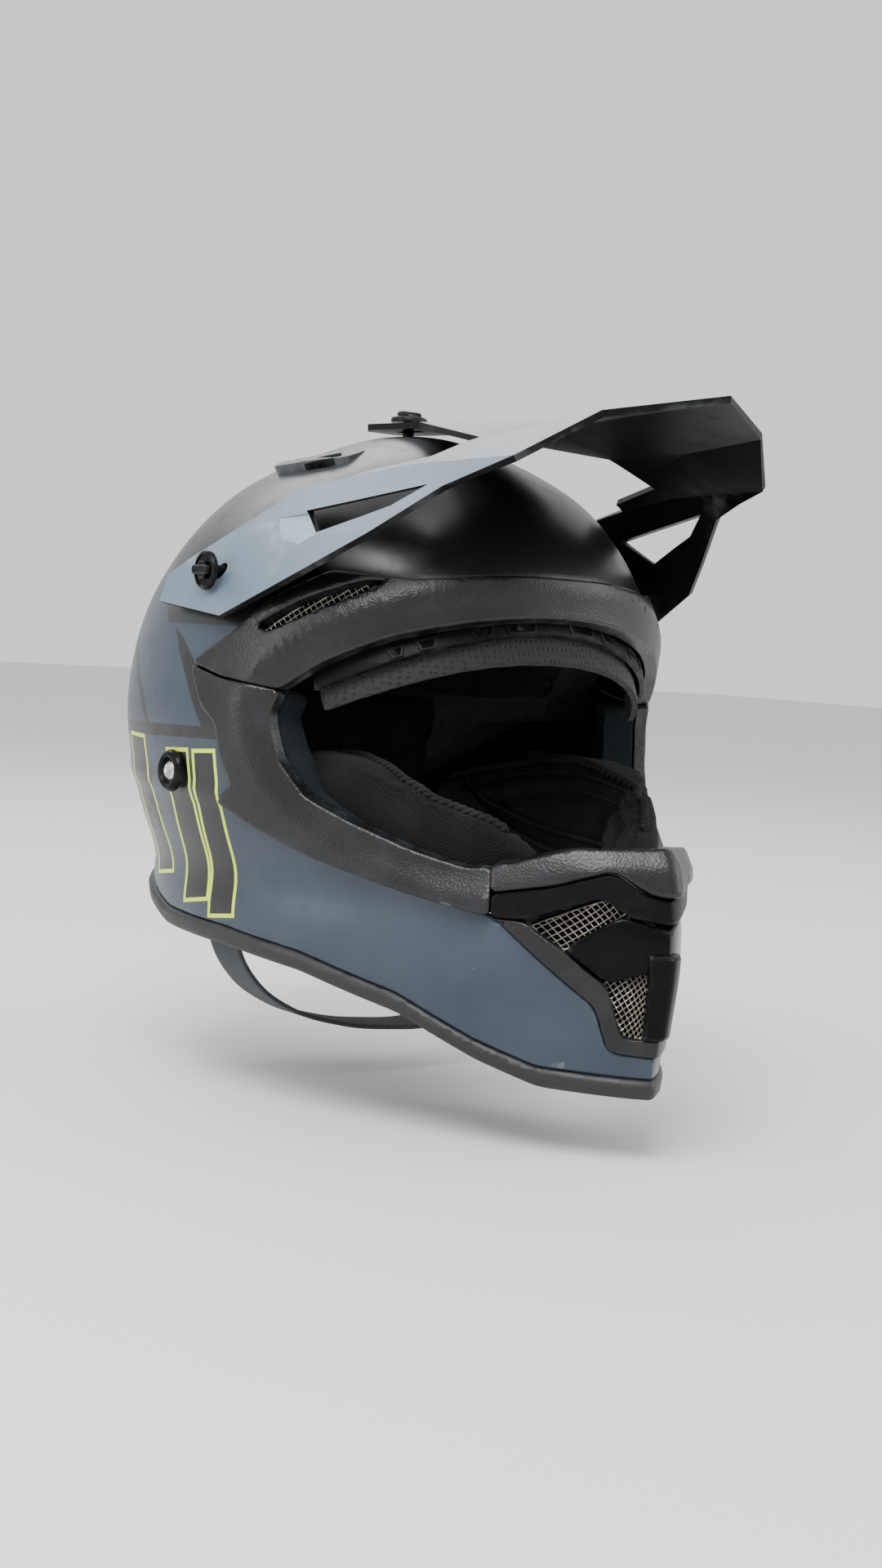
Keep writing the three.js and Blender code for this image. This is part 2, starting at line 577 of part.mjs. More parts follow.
// Points of a loop of webbing round both rings' bars: tip is how far past the bars it turns.
function loopPoints(centre, towards) {
  const at = (along, out) => {
    const point = centre.clone().addScaledVector(ringDown, along * towards).addScaledVector(ringOut, out);
    return [point.x, point.y];
  };
  return [at(-8, -5), at(0, -5.4), at(3.6, -4.4), at(5.2, 0), at(3.6, 4.4), at(0, 5.4), at(-8, 5)];
}
const topBars = RING_TOP.clone().addScaledVector(ringOut, RING_BAR / 2 + GAP / 2);
const lowBars = topBars.clone().addScaledVector(ringDown, RING_PITCH);
const shortPath = [[93, 20], [92, -10], [88, -45], [85, -57], ...loopPoints(topBars, 1), [88.5, -61]];
const longPath = [
  [-93, 20], [-92, -10], [-88, -45], [-85, -64], [-75, -82], [-56, -96], [-28, -105],
  [0, -108.5], [28, -108.5], ...loopPoints(lowBars, -1).reverse(), [33, -101],
];

const strapHole = cylinder(3.7, -HALF, HALF, [0, STRAP_Y, STRAP_Z], [1, 0, 0], 16);
part('strap_short', webbing(shortPath, 30).subtract(strapHole), WEBBING);
part('strap_long', webbing(longPath, 44).subtract(strapHole), WEBBING);

function roundedRing(halfWidth, from, to, radius, Path) {
  const path = new Path();
  path.moveTo(-halfWidth, from + radius);
  path.absarc(-halfWidth + radius, from + radius, radius, Math.PI, 1.5 * Math.PI);
  path.absarc(halfWidth - radius, from + radius, radius, 1.5 * Math.PI, 2 * Math.PI);
  path.absarc(halfWidth - radius, to - radius, radius, 0, 0.5 * Math.PI);
  path.absarc(-halfWidth + radius, to - radius, radius, 0.5 * Math.PI, Math.PI);
  path.closePath();
  return path;
}
for (const [index, name] of ['d_ring_inner', 'd_ring_outer'].entries()) {
  const half = STRAP_WIDTH / 2 + RING_ROOM;
  const bar = RING_BAR / 2;
  const shape = roundedRing(half + RING_BAR, -bar, RING_PITCH + bar, 6, THREE.Shape);
  shape.holes.push(roundedRing(half, bar, RING_PITCH - bar, 3, THREE.Path));
  const extrusion = { depth: RING_BAR, bevelEnabled: false, curveSegments: 4 };
  const geometry = new THREE.ExtrudeGeometry(shape, extrusion);
  const down = new THREE.Vector3(ringDown.x, 0, ringDown.y);
  const inwards = new THREE.Vector3(-ringOut.x, 0, -ringOut.y);
  const outSteps = RING_BAR / 2 + index * (RING_BAR + GAP);
  const corner = new THREE.Vector3(RING_TOP.x, STRAP_Y, RING_TOP.y).addScaledVector(inwards, -outSteps);
  geometry.applyMatrix4(new THREE.Matrix4().makeBasis(Y_AXIS, down, inwards).setPosition(corner));
  part(name, solid(geometry), STEEL);
}

const RIVET_PROFILE = [
  [0, -26], [6.5, -26], [6.5, -24.6], [2.9, -24.6], [2.9, -0.2], [4.8, 0.2], [4.2, 2.2], [0, 3],
];
const RING_PROFILE = [[5.6, 0.3], [9, 0.3], [9, 1.8], [7.8, 3.4], [5.6, 3.4], [5.6, 0.3]];
for (const [side, direction] of SIDES) {
  const centre = [direction * (RIVET_X + 4), STRAP_Y, STRAP_Z];
  part(`strap_rivet_${side}`, turned(RIVET_PROFILE, centre, [direction, 0, 0], 20), STEEL);
  part(`rivet_ring_${side}`, turned(RING_PROFILE, centre, [direction, 0, 0], 24), MOULDING);
}

export default helmet;
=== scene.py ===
import bisect
import math

import bmesh
import bpy
import numpy as np
from mathutils import Matrix, Vector


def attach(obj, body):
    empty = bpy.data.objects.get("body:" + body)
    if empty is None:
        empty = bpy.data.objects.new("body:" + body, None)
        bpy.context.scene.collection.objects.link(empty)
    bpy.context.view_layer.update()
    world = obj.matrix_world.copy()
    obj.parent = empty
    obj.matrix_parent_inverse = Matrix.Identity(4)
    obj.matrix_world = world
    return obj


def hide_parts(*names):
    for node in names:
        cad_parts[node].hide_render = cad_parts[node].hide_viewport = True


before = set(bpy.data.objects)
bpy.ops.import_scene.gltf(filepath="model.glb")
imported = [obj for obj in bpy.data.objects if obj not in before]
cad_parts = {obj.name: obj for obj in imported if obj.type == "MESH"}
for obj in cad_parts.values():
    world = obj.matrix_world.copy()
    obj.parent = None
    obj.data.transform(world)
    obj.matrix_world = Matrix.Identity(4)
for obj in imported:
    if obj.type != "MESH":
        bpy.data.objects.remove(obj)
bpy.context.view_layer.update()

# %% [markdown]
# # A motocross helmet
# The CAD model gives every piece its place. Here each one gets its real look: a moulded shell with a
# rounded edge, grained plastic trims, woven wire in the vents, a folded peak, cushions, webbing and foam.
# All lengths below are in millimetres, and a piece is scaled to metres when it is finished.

MM = 0.001

# %% [markdown]
# ## The skin
# A helmet's shell is a smooth bag round the head with no flat place to draw on. Its skin is described as
# level sections: at each height a half width, a reach forward and back, and two powers that turn the chin
# into a V. A point of the skin is then found from a turn round the head and a height. That is better than
# sculpting, because every trim, vent and bead can be laid on the same skin and fits its neighbours.

# %% The skin's level sections
SKIN_Y = -12
TOP = 163.5
SECTIONS = [
    (-110, 86, 184, 110, 1.7, 0.8), (-80, 95, 187, 116, 1.7, 0.8), (-50, 101, 190, 120, 1.7, 0.8),
    (-20, 106, 187, 127, 1.75, 0.8), (10, 114, 176, 134, 1.85, 0.72), (40, 117, 146, 136, 2, 0.58),
    (75, 111, 121, 131, 2.1, 0.5), (105, 98, 109, 114, 2.1, 0.5), (132, 75, 90, 91, 2.1, 0.5),
    (154, 37, 49, 50, 2.1, 0.5), (TOP, 0, 0, 0, 2.1, 0.5),
]


def section(column, height):
    """A column of SECTIONS at a height, smoothly joined. Lengths are kept squared, for a round crown."""
    row = min(max(bisect.bisect_left([s[0] for s in SECTIONS], height), 1), len(SECTIONS) - 1)
    a, b = SECTIONS[row - 1], SECTIONS[row]
    before, after = SECTIONS[max(row - 2, 0)], SECTIONS[min(row + 1, len(SECTIONS) - 1)]
    power = 2 if column < 4 else 1
    slope = lambda p, q: (q[column] ** power - p[column] ** power) / ((q[0] - p[0]) or 1)
    step = b[0] - a[0]
    at = min(max((height - a[0]) / step, 0), 1)
    start = (slope(before, b) if row > 1 else slope(a, b)) * step
    end = (slope(a, after) if after is not b else slope(a, b)) * step
    return max(a[column] ** power * (1 + 2 * at) * (1 - at) ** 2 + start * at * (1 - at) ** 2
               + b[column] ** power * at ** 2 * (3 - 2 * at) + end * at ** 2 * (at - 1), 0)


LEVELS = np.linspace(-112, TOP, 1103)
TABLE = np.array([[section(column, level) for column in range(1, 6)] for level in LEVELS]).T


def skin_point(turn, height):
    """Points of the skin. The turn is 0 at the nose and pi at the back, positive to the wearer's left."""
    width, ahead, behind, flat, full = (np.interp(height, LEVELS, column) for column in TABLE)
    along = np.cos(turn)
    reach = np.sqrt(np.where(along > 0, ahead, behind))
    flat, full = np.where(along > 0, flat, 2.2), np.where(along > 0, full, 0.5)
    across = np.sqrt(width) * np.maximum(1 - np.abs(along) ** flat, 0) ** full
    return np.stack([across * np.sign(np.sin(turn)), SKIN_Y - reach * along, height + 0 * turn], -1)


def skin(turn, height, grow):
    """Points a distance outside the skin, or inside it if that is negative."""
    turn, height = np.asarray(turn, float), np.minimum(np.asarray(height, float), TOP)
    middle = np.minimum(height, TOP - 0.35)
    around = skin_point(turn + 0.012, middle) - skin_point(turn - 0.012, middle)
    rise = skin_point(turn, middle + 0.3) - skin_point(turn, middle - 0.3)
    normal = np.cross(around, rise)
    normal /= np.linalg.norm(normal, axis=-1, keepdims=True)
    pole = np.clip((height - TOP + 0.7) / 0.7, 0, 1)[..., None]
    normal = normal * (1 - pole) + np.array([0, 0, 1]) * pole
    return skin_point(turn, height) + normal * np.asarray(grow)[..., None]


print("skin at the ear", skin(math.pi / 2, 0, 0).round(1), "at the nose", skin(0, -50, 0).round(1))

# %% [markdown]
# ## From a drawn outline to a fitted piece
# A trim is drawn as its outline seen from the side. It is first made flat, like a paper pattern: turns go
# across and heights go up, so an inset gives it a rounded edge and an extrusion gives it a thickness. Then
# every point is laid on the skin. Cutting the pattern along a grid first lets it bend smoothly.

# %% The pattern's own coordinates
AROUND = 100        # pattern millimetres for one radian of turn
POLE = 40           # within this drop from the top the rows are set closer, for a round crown
ON_NOSE = 0.05      # pattern points nearer the nose line than this lie on it
TOO_CLOSE = 0.3     # pattern points nearer each other than this are one


def turn_of(y, z):
    reach = np.sqrt(np.interp(z, LEVELS, TABLE[1 if y < SKIN_Y else 2]))
    return math.acos(min(max((SKIN_Y - y) / max(reach, 0.1), -1), 1))


def row_of(z):
    drop = max(TOP - z, 0)
    return math.sqrt(4 * POLE * drop) if drop < POLE else POLE + drop


def height_of(row):
    row = np.maximum(row, 0)
    return np.where(row < 2 * POLE, TOP - row ** 2 / (4 * POLE), TOP + POLE - row)


def eased(outline, radius, closed=True):
    """The outline with its corners rounded off, as close points."""
    corners = [Vector(p) for p in outline]
    path = []
    for index, corner in enumerate(corners):
        if not closed and index in (0, len(corners) - 1):
            path.append(corner)
            continue
        before, after = corners[index - 1], corners[(index + 1) % len(corners)]
        cut = min(radius, (before - corner).length / 2.2, (after - corner).length / 2.2)
        start = corner + (before - corner).normalized() * cut
        end = corner + (after - corner).normalized() * cut
        path += [start.lerp(corner, t).lerp(corner.lerp(end, t), t) for t in (0, 0.25, 0.5, 0.75, 1)]
    fine = []
    for index, point in enumerate(path[:-1] if not closed else path):
        ahead = path[(index + 1) % len(path)]
        steps = max(int((ahead - point).length / 0.4), 1)
        fine += [point.lerp(ahead, step / steps) for step in range(steps)]
    return fine + ([] if closed else [path[-1]])


def laid_out(outline, radius, spacing=1.8, closed=True):
    """The outline in pattern coordinates, evenly spaced, with one point at each end on the nose line."""
    points = [(AROUND * turn_of(y, z), row_of(z)) for y, z in eased(outline, radius, closed)]
    kept = []
    for index, point in enumerate(points):
        on_nose = point[0] < ON_NOSE
        starts = index == 0 and not closed
        ahead = points[(index + 1) % len(points)]
        neighbours = (starts or points[index - 1][0] < ON_NOSE) and ahead[0] < ON_NOSE
        if on_nose and neighbours and (starts or index > 0):
            continue
        if kept and not on_nose and math.dist(kept[-1], point) < spacing:
            continue
        if kept and math.dist(kept[-1], point) < TOO_CLOSE:
            continue
        kept.append(point)
    if closed and math.dist(kept[0], kept[-1]) < spacing / 2:
        kept.pop()
    return kept


def grown(outline, distance):
    """The same outline drawn a distance outside itself, or inside if that is negative."""
    turned = sum(a[0] * b[1] - b[0] * a[1] for a, b in zip(outline, outline[1:] + outline[:1]))
    out = distance * math.copysign(1, turned)
    shifted = []
    for index, (y, z) in enumerate(outline):
        (fy, fz), (ty, tz) = outline[index - 1], outline[(index + 1) % len(outline)]
        before, after = Vector((z - fz, fy - y)).normalized(), Vector((tz - z, y - ty)).normalized()
        corner = (before + after).normalized()
        shifted.append((y + corner.x * out / max(corner.dot(before), 0.4),
                        z + corner.y * out / max(corner.dot(before), 0.4)))
    return shifted


# %% Cutting, thickening and laying a pattern
BACK = math.pi * AROUND
BOTH, RIGHT, LEFT = (-1, 1), (-1,), (1,)


def cut_out(halves, sides=BOTH, holes=()):
    """Flat faces from closed loops of pattern points. Halves that touch the nose line share those points."""
    bm = bmesh.new()
    shared = {}

    def vert(x, row):
        key = (round(x, 3), round(row, 3))
        if key not in shared:
            shared[key] = bm.verts.new((x, -row, 0))
        return shared[key]

    for side in sides:
        loop = [vert(side * x if x > ON_NOSE else 0, row) for x, row in halves]
        if not holes:
            bm.faces.new(loop if side > 0 else loop[::-1])
            continue
        edges = []
        for ring in [loop] + [[vert(side * x, row) for x, row in hole] for hole in holes]:
            edges += [bm.edges.get(pair) or bm.edges.new(pair) for pair in zip(ring, ring[1:] + ring[:1])]
        bmesh.ops.triangle_fill(bm, use_beauty=True, edges=edges)
    bmesh.ops.recalc_face_normals(bm, faces=bm.faces)
    if bm.faces[:][0].normal.z < 0:
        bmesh.ops.reverse_faces(bm, faces=bm.faces)
    return bm


def everything(bm):
    return bm.verts[:] + bm.edges[:] + bm.faces[:]


def gridded(bm, step, slant=0.0):
    """Cuts the flat pattern along evenly spaced lines, straight or slanting by an angle."""
    lows = [min(v.co[axis] for v in bm.verts) for axis in (0, 1)]
    highs = [max(v.co[axis] for v in bm.verts) for axis in (0, 1)]
    middle = Vector(((lows[0] + highs[0]) / 2, (lows[1] + highs[1]) / 2, 0)) if slant else Vector()
    reach = sum(h - l for h, l in zip(highs, lows))
    for quarter in (0, 1):
        normal = Vector((math.cos(slant + quarter * math.pi / 2), math.sin(slant + quarter * math.pi / 2), 0))
        low, high = ((-reach / 2, reach / 2) if slant else (lows[quarter], highs[quarter]))
        for count in range(math.ceil(low / step), math.floor(high / step) + 1):
            bmesh.ops.bisect_plane(bm, geom=everything(bm), dist=0.02, plane_no=normal,
                                   plane_co=middle + normal * count * step)


def rounded(bm, radius):
    """Gives the flat pattern a rounded edge: two insets that climb to the face."""
    bmesh.ops.translate(bm, verts=bm.verts, vec=(0, 0, -radius))
    for width, climb in ((0.25, 0.6), (0.75, 0.4)):
        bmesh.ops.inset_region(bm, faces=[f for f in bm.faces if f.normal.z > 0.99], thickness=width * radius,
                               depth=climb * radius, use_even_offset=True, use_boundary=True)


def trimmed_back(bm):
    """Cuts off what runs past the back line and the pole, so the two sides meet there."""
    for co, normal in (((BACK, 0, 0), (1, 0, 0)), ((-BACK, 0, 0), (-1, 0, 0)), ((0, 0, 0), (0, 1, 0))):
        bmesh.ops.bisect_plane(bm, geom=everything(bm), dist=0.02, plane_co=co, plane_no=normal,
                               clear_outer=True)


def thickened(bm, outer, inner):
    """Makes the pattern solid between two distances from the skin. Inner faces take the second material."""
    bmesh.ops.translate(bm, verts=bm.verts, vec=(0, 0, outer))
    copy = bmesh.ops.extrude_face_region(bm, geom=bm.faces[:], use_keep_orig=True)["geom"]
    for vert in (v for v in copy if isinstance(v, bmesh.types.BMVert)):
        vert.co.z = inner
    for face in (f for f in copy if isinstance(f, bmesh.types.BMFace)):
        face.material_index = 1
    seam = [f for f in bm.faces if all(abs(v.co.x) > BACK - 0.05 for v in f.verts)
            or all(v.co.y > -0.05 for v in f.verts)]
    bmesh.ops.delete(bm, geom=seam, context="FACES")


def wrapped(bm, relief=None):
    """Lays the pattern on the skin. relief(turn, height, depth) says how much each point stands out."""
    flat = np.array([v.co for v in bm.verts])
    turn, height = flat[:, 0] / AROUND, height_of(-flat[:, 1])
    depth = flat[:, 2] + (relief(turn, height, flat[:, 2]) if relief else 0)
    for vert, place in zip(bm.verts, skin(turn, height, depth)):
        vert.co = place
        if abs(vert.co.x) < 1e-6:
            vert.co.x = 0
    bmesh.ops.remove_doubles(bm, verts=bm.verts, dist=0.01)


# %% Finishing a piece
PIECES = []


def finish_piece(bm, name, material, body="root", stands_for=None, sharp=40, scale=MM):
    """Turns the shape into an object in metres that rides on its CAD body."""
    bmesh.ops.recalc_face_normals(bm, faces=bm.faces)
    bmesh.ops.scale(bm, vec=(scale,) * 3, verts=bm.verts)
    mesh = bpy.data.meshes.new(name)
    bm.to_mesh(mesh)
    bm.free()
    piece = bpy.data.objects.new(name, mesh)
    bpy.context.scene.collection.objects.link(piece)
    return dressed(piece, material, body, stands_for, sharp)


def dressed(piece, material, body="root", stands_for=None, sharp=40):
    """Gives an object its material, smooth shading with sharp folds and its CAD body."""
    for each in material if isinstance(material, (list, tuple)) else [material, material]:
        piece.data.materials.append(each)
    piece.data.shade_smooth()
    piece.data.set_sharp_from_angle(angle=math.radians(sharp))
    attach(piece, body)
    if stands_for:
        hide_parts(*([stands_for] if isinstance(stands_for, str) else stands_for))
    PIECES.append(piece)
    return piece


def weighted(piece):
    """Shades by the big faces, so slivers beside a cut don't show."""
    modifier = piece.modifiers.new("even shading", "WEIGHTED_NORMAL")
    modifier.keep_sharp = True
    return piece


def fitted(name, outline, layer, material, radius=0.8, corner=3, step=3.5, sides=BOTH, holes=(), relief=None,
           stands_for=None, flat=False, sharp=40):
    """A piece of the skin cut to a side-view outline, between two distances from the skin."""
    half = outline if flat else laid_out(outline, corner)
    bm = cut_out(half, sides, holes if flat else [laid_out(hole, 2) for hole in holes])
    rounded(bm, radius)
    gridded(bm, step)
    trimmed_back(bm)
    thickened(bm, *layer)
    wrapped(bm, relief)
    piece = finish_piece(bm, name, material, stands_for=stands_for, sharp=sharp)
    print(name, len(piece.data.polygons), "faces")
    return weighted(piece)

# %% [markdown]
# ## Shader maths in plain words
# A finish is a few patterns added and multiplied. Writing that as `1 - mask` is easier to read than a web of
# nodes, so a small class wraps a node's socket and lets the usual signs add Math nodes. Every pattern uses
# the object's own coordinates in millimetres, so it sticks to the piece from any side.

# %% A class for node sockets and one for materials
class Value:
    def __init__(self, shader, socket):
        self.shader, self.socket = shader, socket

    def maths(self, operation, *values, **settings):
        return self.shader.node("Math", {"operation": operation, **settings}, dict(enumerate(values)))

    def __add__(self, other): return self.maths("ADD", self, other)
    def __radd__(self, other): return self.maths("ADD", other, self)
    def __sub__(self, other): return self.maths("SUBTRACT", self, other)
    def __rsub__(self, other): return self.maths("SUBTRACT", other, self)
    def __mul__(self, other): return self.maths("MULTIPLY", self, other)
    def __rmul__(self, other): return self.maths("MULTIPLY", other, self)
    def __truediv__(self, other): return self.maths("DIVIDE", self, other)
    def __abs__(self): return self.maths("ABSOLUTE", self)
    def least(self, other): return self.maths("MINIMUM", self, other)
    def most(self, other): return self.maths("MAXIMUM", self, other)
    def sine(self): return self.maths("SINE", self)
    def held(self): return self.maths("ADD", self, 0, use_clamp=True)


class Finish:
    """A material being made: node() adds any node, and the rest are the patterns used most."""

    def __init__(self, name, colour=(0.5, 0.5, 0.5), roughness=0.5, **sockets):
        self.material = bpy.data.materials.new(name)
        self.material.use_nodes = True
        self.tree = self.material.node_tree
        self.surface = self.tree.nodes["Principled BSDF"]
        self.set(Base_Color=colour, Roughness=roughness, **sockets)
        coordinates = self.node("TexCoord", out="Object")
        self.place = self.node("VectorMath", {"operation": "SCALE"}, {0: coordinates, "Scale": 1000.0})
        self.x, self.y, self.z = (self.node("SeparateXYZ", None, {0: self.place}, out=axis) for axis in "XYZ")

    def node(self, kind, settings=None, inputs=None, out=0):
        node = self.tree.nodes.new("ShaderNode" + kind)
        for key, value in (settings or {}).items():
            if key == "stops":
                while len(node.color_ramp.elements) < len(value):
                    node.color_ramp.elements.new(0.5)
                for element, (at, colour) in zip(node.color_ramp.elements, value):
                    element.position, element.color = at, (*colour, 1)
            else:
                setattr(node, key, value)
        for key, value in (inputs or {}).items():
            self.join(value, node.inputs[key])
        return Value(self, node.outputs[out])

    def join(self, value, socket):
        if isinstance(value, Value):
            self.tree.links.new(value.socket, socket)
        elif isinstance(value, (tuple, list)) and socket.type == "RGBA":
            socket.default_value = (*value, 1)
        else:
            socket.default_value = value

    def set(self, **sockets):
        for name, value in sockets.items():
            self.join(value, self.surface.inputs[name.replace("_", " ")])

    def noise(self, size, detail=3.0, roughness=0.55, place=None):
        """Soft random patches of about this size in millimetres, from 0 to 1."""
        return self.node("TexNoise", None, {"Vector": place or self.place, "Scale": 1 / size,
                                            "Detail": detail, "Roughness": roughness})

    def cells(self, size, feature="F1", out="Distance", spread=1.0):
        return self.node("TexVoronoi", {"feature": feature}, {"Vector": self.place, "Scale": 1 / size,
                                                              "Randomness": spread}, out=out)

    def band(self, value, low, high):
        """Rises from 0 to 1 between two values, and stays there."""
        return self.node("MapRange", {"interpolation_type": "SMOOTHSTEP"},
                         {"Value": value, "From Min": low, "From Max": high})

    def mix(self, factor, first, second):
        return self.node("Mix", {"data_type": "RGBA"}, {0: factor, 6: first, 7: second}, out=2)

    def bump(self, height, strength, distance=0.3, base=None):
        inputs = {"Height": height, "Strength": strength, "Distance": distance * MM}
        if base:
            inputs["Normal"] = base
        return self.node("Bump", None, inputs)

    def worn(self, base, edge, amount=0.5):
        """Mixes a paler colour onto the raised edges, broken up by noise."""
        edges = self.node("NewGeometry", out="Pointiness")
        rubbed = self.band(edges, 0.52, 0.62) * self.band(self.noise(9), 0.35, 0.7) * amount
        return self.mix(rubbed, base, edge)

    def inside(self, corners, axes="yz"):
        """How far a point is inside a convex side-view outline, in millimetres: below 0 is outside."""
        across, up = (getattr(self, axis) for axis in axes)
        turned = sum(a[0] * b[1] - b[0] * a[1] for a, b in zip(corners, corners[1:] + corners[:1]))
        depth = None
        for (y0, z0), (y1, z1) in zip(corners, corners[1:] + corners[:1]):
            along = math.copysign(1, turned) / math.dist((y0, z0), (y1, z1))
            ay, az = -(z1 - z0) * along, (y1 - y0) * along
            edge = across * ay + up * az - (ay * y0 + az * z0)
            depth = edge if depth is None else depth.least(edge)
        return depth


# %% [markdown]
# ## The shell's matt paint
# The shell is painted a matt slate blue with dark angular stripes and a darker crown, under a clear coat
# that has small dust specks and rubbed patches. The crown's grey grows lighter towards the top: that is a
# painted highlight. The stripes are straight-sided areas, so each is the overlap of a few half planes in
# side view. No lettering is copied: slanted bars with a bright outline take its place.

# %% Paint for the shell
SLATE, PALE, BLACK = (0.017, 0.029, 0.045), (0.027, 0.041, 0.059), (0.004, 0.004, 0.005)
# The second grey of this pair is lighter for a painted highlight on the top of the crown.
CHARCOAL, CROWN_HIGHLIGHT = (0.009, 0.010, 0.011), (0.034, 0.037, 0.041)
NEON = (0.62, 0.78, 0.03)


def shell_paint():
    paint = Finish("shell_paint", SLATE, 0.42, Coat_Roughness=0.3, Specular_IOR_Level=0.4)
    cloud = paint.noise(38, 4)
    colour = paint.mix(paint.band(cloud, 0.3, 0.75), SLATE, PALE)
    # The charcoal upper part grows lighter towards the top of the crown: a painted highlight.
    grey = paint.mix(paint.band(paint.z + cloud * 22, 112, 168), CHARCOAL, CROWN_HIGHLIGHT)
    upper = paint.inside([(20, 72), (35, 93), (51, 107), (92, 142), (60, 175), (-300, 175), (-300, 72)])
    colour = paint.mix(paint.band(upper, -0.3, 0.3), colour, grey)
    forehead = paint.band(paint.y - cloud * 16, -42, -66) * paint.band(paint.z, 60, 70)
    colour = paint.mix(forehead, colour, BLACK)
    stripes = None
    for corners in STRIPES:
        stripe = paint.inside(corners)
        stripes = stripe if stripes is None else stripes.most(stripe)
    colour = paint.mix(paint.band(stripes, -0.25, 0.25), colour, BLACK)
    bars = None
    for corners in BARS:
        bar = paint.inside(corners)
        bars = bar if bars is None else bars.most(bar)
    colour = paint.mix(paint.band(bars, -1.9, -1.5), colour, NEON)
    colour = paint.mix(paint.band(bars, -0.2, 0.2), colour, BLACK)
    specks = paint.band(paint.cells(7), 0.05, 0.02) * paint.band(paint.noise(60), 0.45, 0.6)
    colour = paint.mix(specks * 0.5, colour, (0.32, 0.34, 0.35))
    colour = paint.worn(colour, (0.24, 0.27, 0.29), 0.5)
    scuffs = paint.band(paint.noise(16, 6, 0.7), 0.5, 0.8)
    paint.set(Base_Color=colour, Roughness=0.36 + scuffs * 0.16, Coat_Weight=0.16 - scuffs * 0.1,
              Normal=paint.bump(paint.noise(0.9, 2), 0.12, 0.1))
    return paint.material


STRIPES = [
    [(96, 104), (101, 101), (30, 40), (26, 43)], [(26, 43), (30, 40), (19, 26), (15, 26)],
    [(2, 70), (-7, 66), (-27, 52), (-17, 48)], [(-17, 48), (-27, 52), (-44, 28), (-31, 28)],
    [(51, 26.5), (-44, 29), (-44, 24), (47, 21)], [(140, 17), (51, 26.5), (47, 21), (140, 11)],
]
BARS = [
    [(-2, 16), (-18, 17), (-17, -46), (1, -49)], [(-24, 17), (-37, 18), (-35, -51), (-20, -53)],
    [(46, 20), (24, 20), (17, -38), (38, -41)], [(76, 17), (57, 18), (50, -35), (70, -36)],
]


# %% [markdown]
# ## Grained plastic, rubber, gloss and foam
# The trims round the face opening are moulded with a pebble grain that keeps finger marks from showing. The
# grain is a bump made of rounded cells. Rubber is smoother and dusty, the vent blades are glossy, and the
# impact liner is foam made of beads pressed together.

# %% Plastics and rubber
def grained_plastic():
    plastic = Finish("grained_plastic", (0.016, 0.017, 0.019), 0.4, Specular_IOR_Level=0.4)
    pebbles = plastic.band(plastic.cells(0.9, "SMOOTH_F1"), 0.15, 0.75)
    grey = plastic.mix(plastic.band(plastic.noise(22), 0.4, 0.75), (0.0022, 0.0026, 0.0032),
                       (0.0085, 0.0096, 0.0115))
    plastic.set(Base_Color=plastic.worn(grey, (0.10, 0.107, 0.112), 0.5),
                Roughness=0.27 + plastic.noise(14) * 0.18, Normal=plastic.bump(pebbles, 0.5, 0.13))
    return plastic.material


def smooth_plastic(name, colour, roughness, coat=0.0, shine=0.3):
    plastic = Finish(name, colour, roughness, Coat_Roughness=0.06, Specular_IOR_Level=shine)
    smears = plastic.band(plastic.noise(11, 6, 0.7), 0.45, 0.8)
    lighter = tuple(c * 1.6 + 0.004 for c in colour)
    smeared = plastic.mix(smears * 0.5, colour, lighter)
    plastic.set(Base_Color=plastic.worn(smeared, (0.14, 0.15, 0.155), 0.35),
                Roughness=roughness + smears * 0.12, Coat_Weight=coat - smears * coat * 0.4,
                Normal=plastic.bump(plastic.noise(0.5, 2), 0.08, 0.1))
    return plastic.material


def foam_beads():
    foam = Finish("foam_beads", (0.02, 0.021, 0.022), 0.85)
    beads = foam.cells(3.2, "SMOOTH_F1")
    foam.set(Base_Color=foam.mix(foam.band(beads, 0.1, 0.8), (0.012, 0.0122, 0.013), (0.004, 0.004, 0.0044)),
             Normal=foam.bump(beads, -0.7, 0.5))
    return foam.material


def steel():
    metal = Finish("worn_steel", (0.55, 0.55, 0.56), 0.3, Metallic=1.0)
    marks = metal.band(metal.noise(1.6, 6, 0.7), 0.4, 0.8)
    metal.set(Base_Color=metal.mix(marks, (0.62, 0.62, 0.63), (0.30, 0.295, 0.29)),
              Roughness=0.22 + marks * 0.3)
    return metal.material


def vent_wire():
    wire = Finish("vent_wire", (0.42, 0.39, 0.33), 0.35, Metallic=0.85)
    grime = wire.band(wire.noise(3.5, 5), 0.45, 0.75)
    wire.set(Base_Color=wire.mix(grime, (0.80, 0.76, 0.66), (0.26, 0.24, 0.20)), Roughness=0.3 + grime * 0.3)
    return wire.material


PAINT = shell_paint()
GRAIN = grained_plastic()
RUBBER = smooth_plastic("rim_rubber", (0.006, 0.006, 0.007), 0.5, shine=0.5)
GLOSS = smooth_plastic("gloss_plastic", (0.002, 0.002, 0.0025), 0.2, 0.06, shine=0.06)
SATIN = smooth_plastic("satin_black", (0.0022, 0.0024, 0.003), 0.4, shine=0.11)
# Near-black with almost no reflection. On the inside of the shell it is the unpainted inner side and painted
# shade together; in the vent backings and in the crown and brow slots it is painted shade standing for dark
# openings.
INSIDE_AND_SHADE_BLACK = smooth_plastic("inside_and_shade_black", (0.0015, 0.0015, 0.0018), 0.8, shine=0.05)
FOAM, STEEL, WIRE = foam_beads(), steel(), vent_wire()
print(len(bpy.data.materials), "finishes so far")

# %% [markdown]
# ## The shell and its rubber bead
# The shell is one moulding with a hole for the face. Near the neck it pinches in a little and flares to the
# rim, with a soft crease ahead of that, so those are added as relief: small pushes in and out by height.

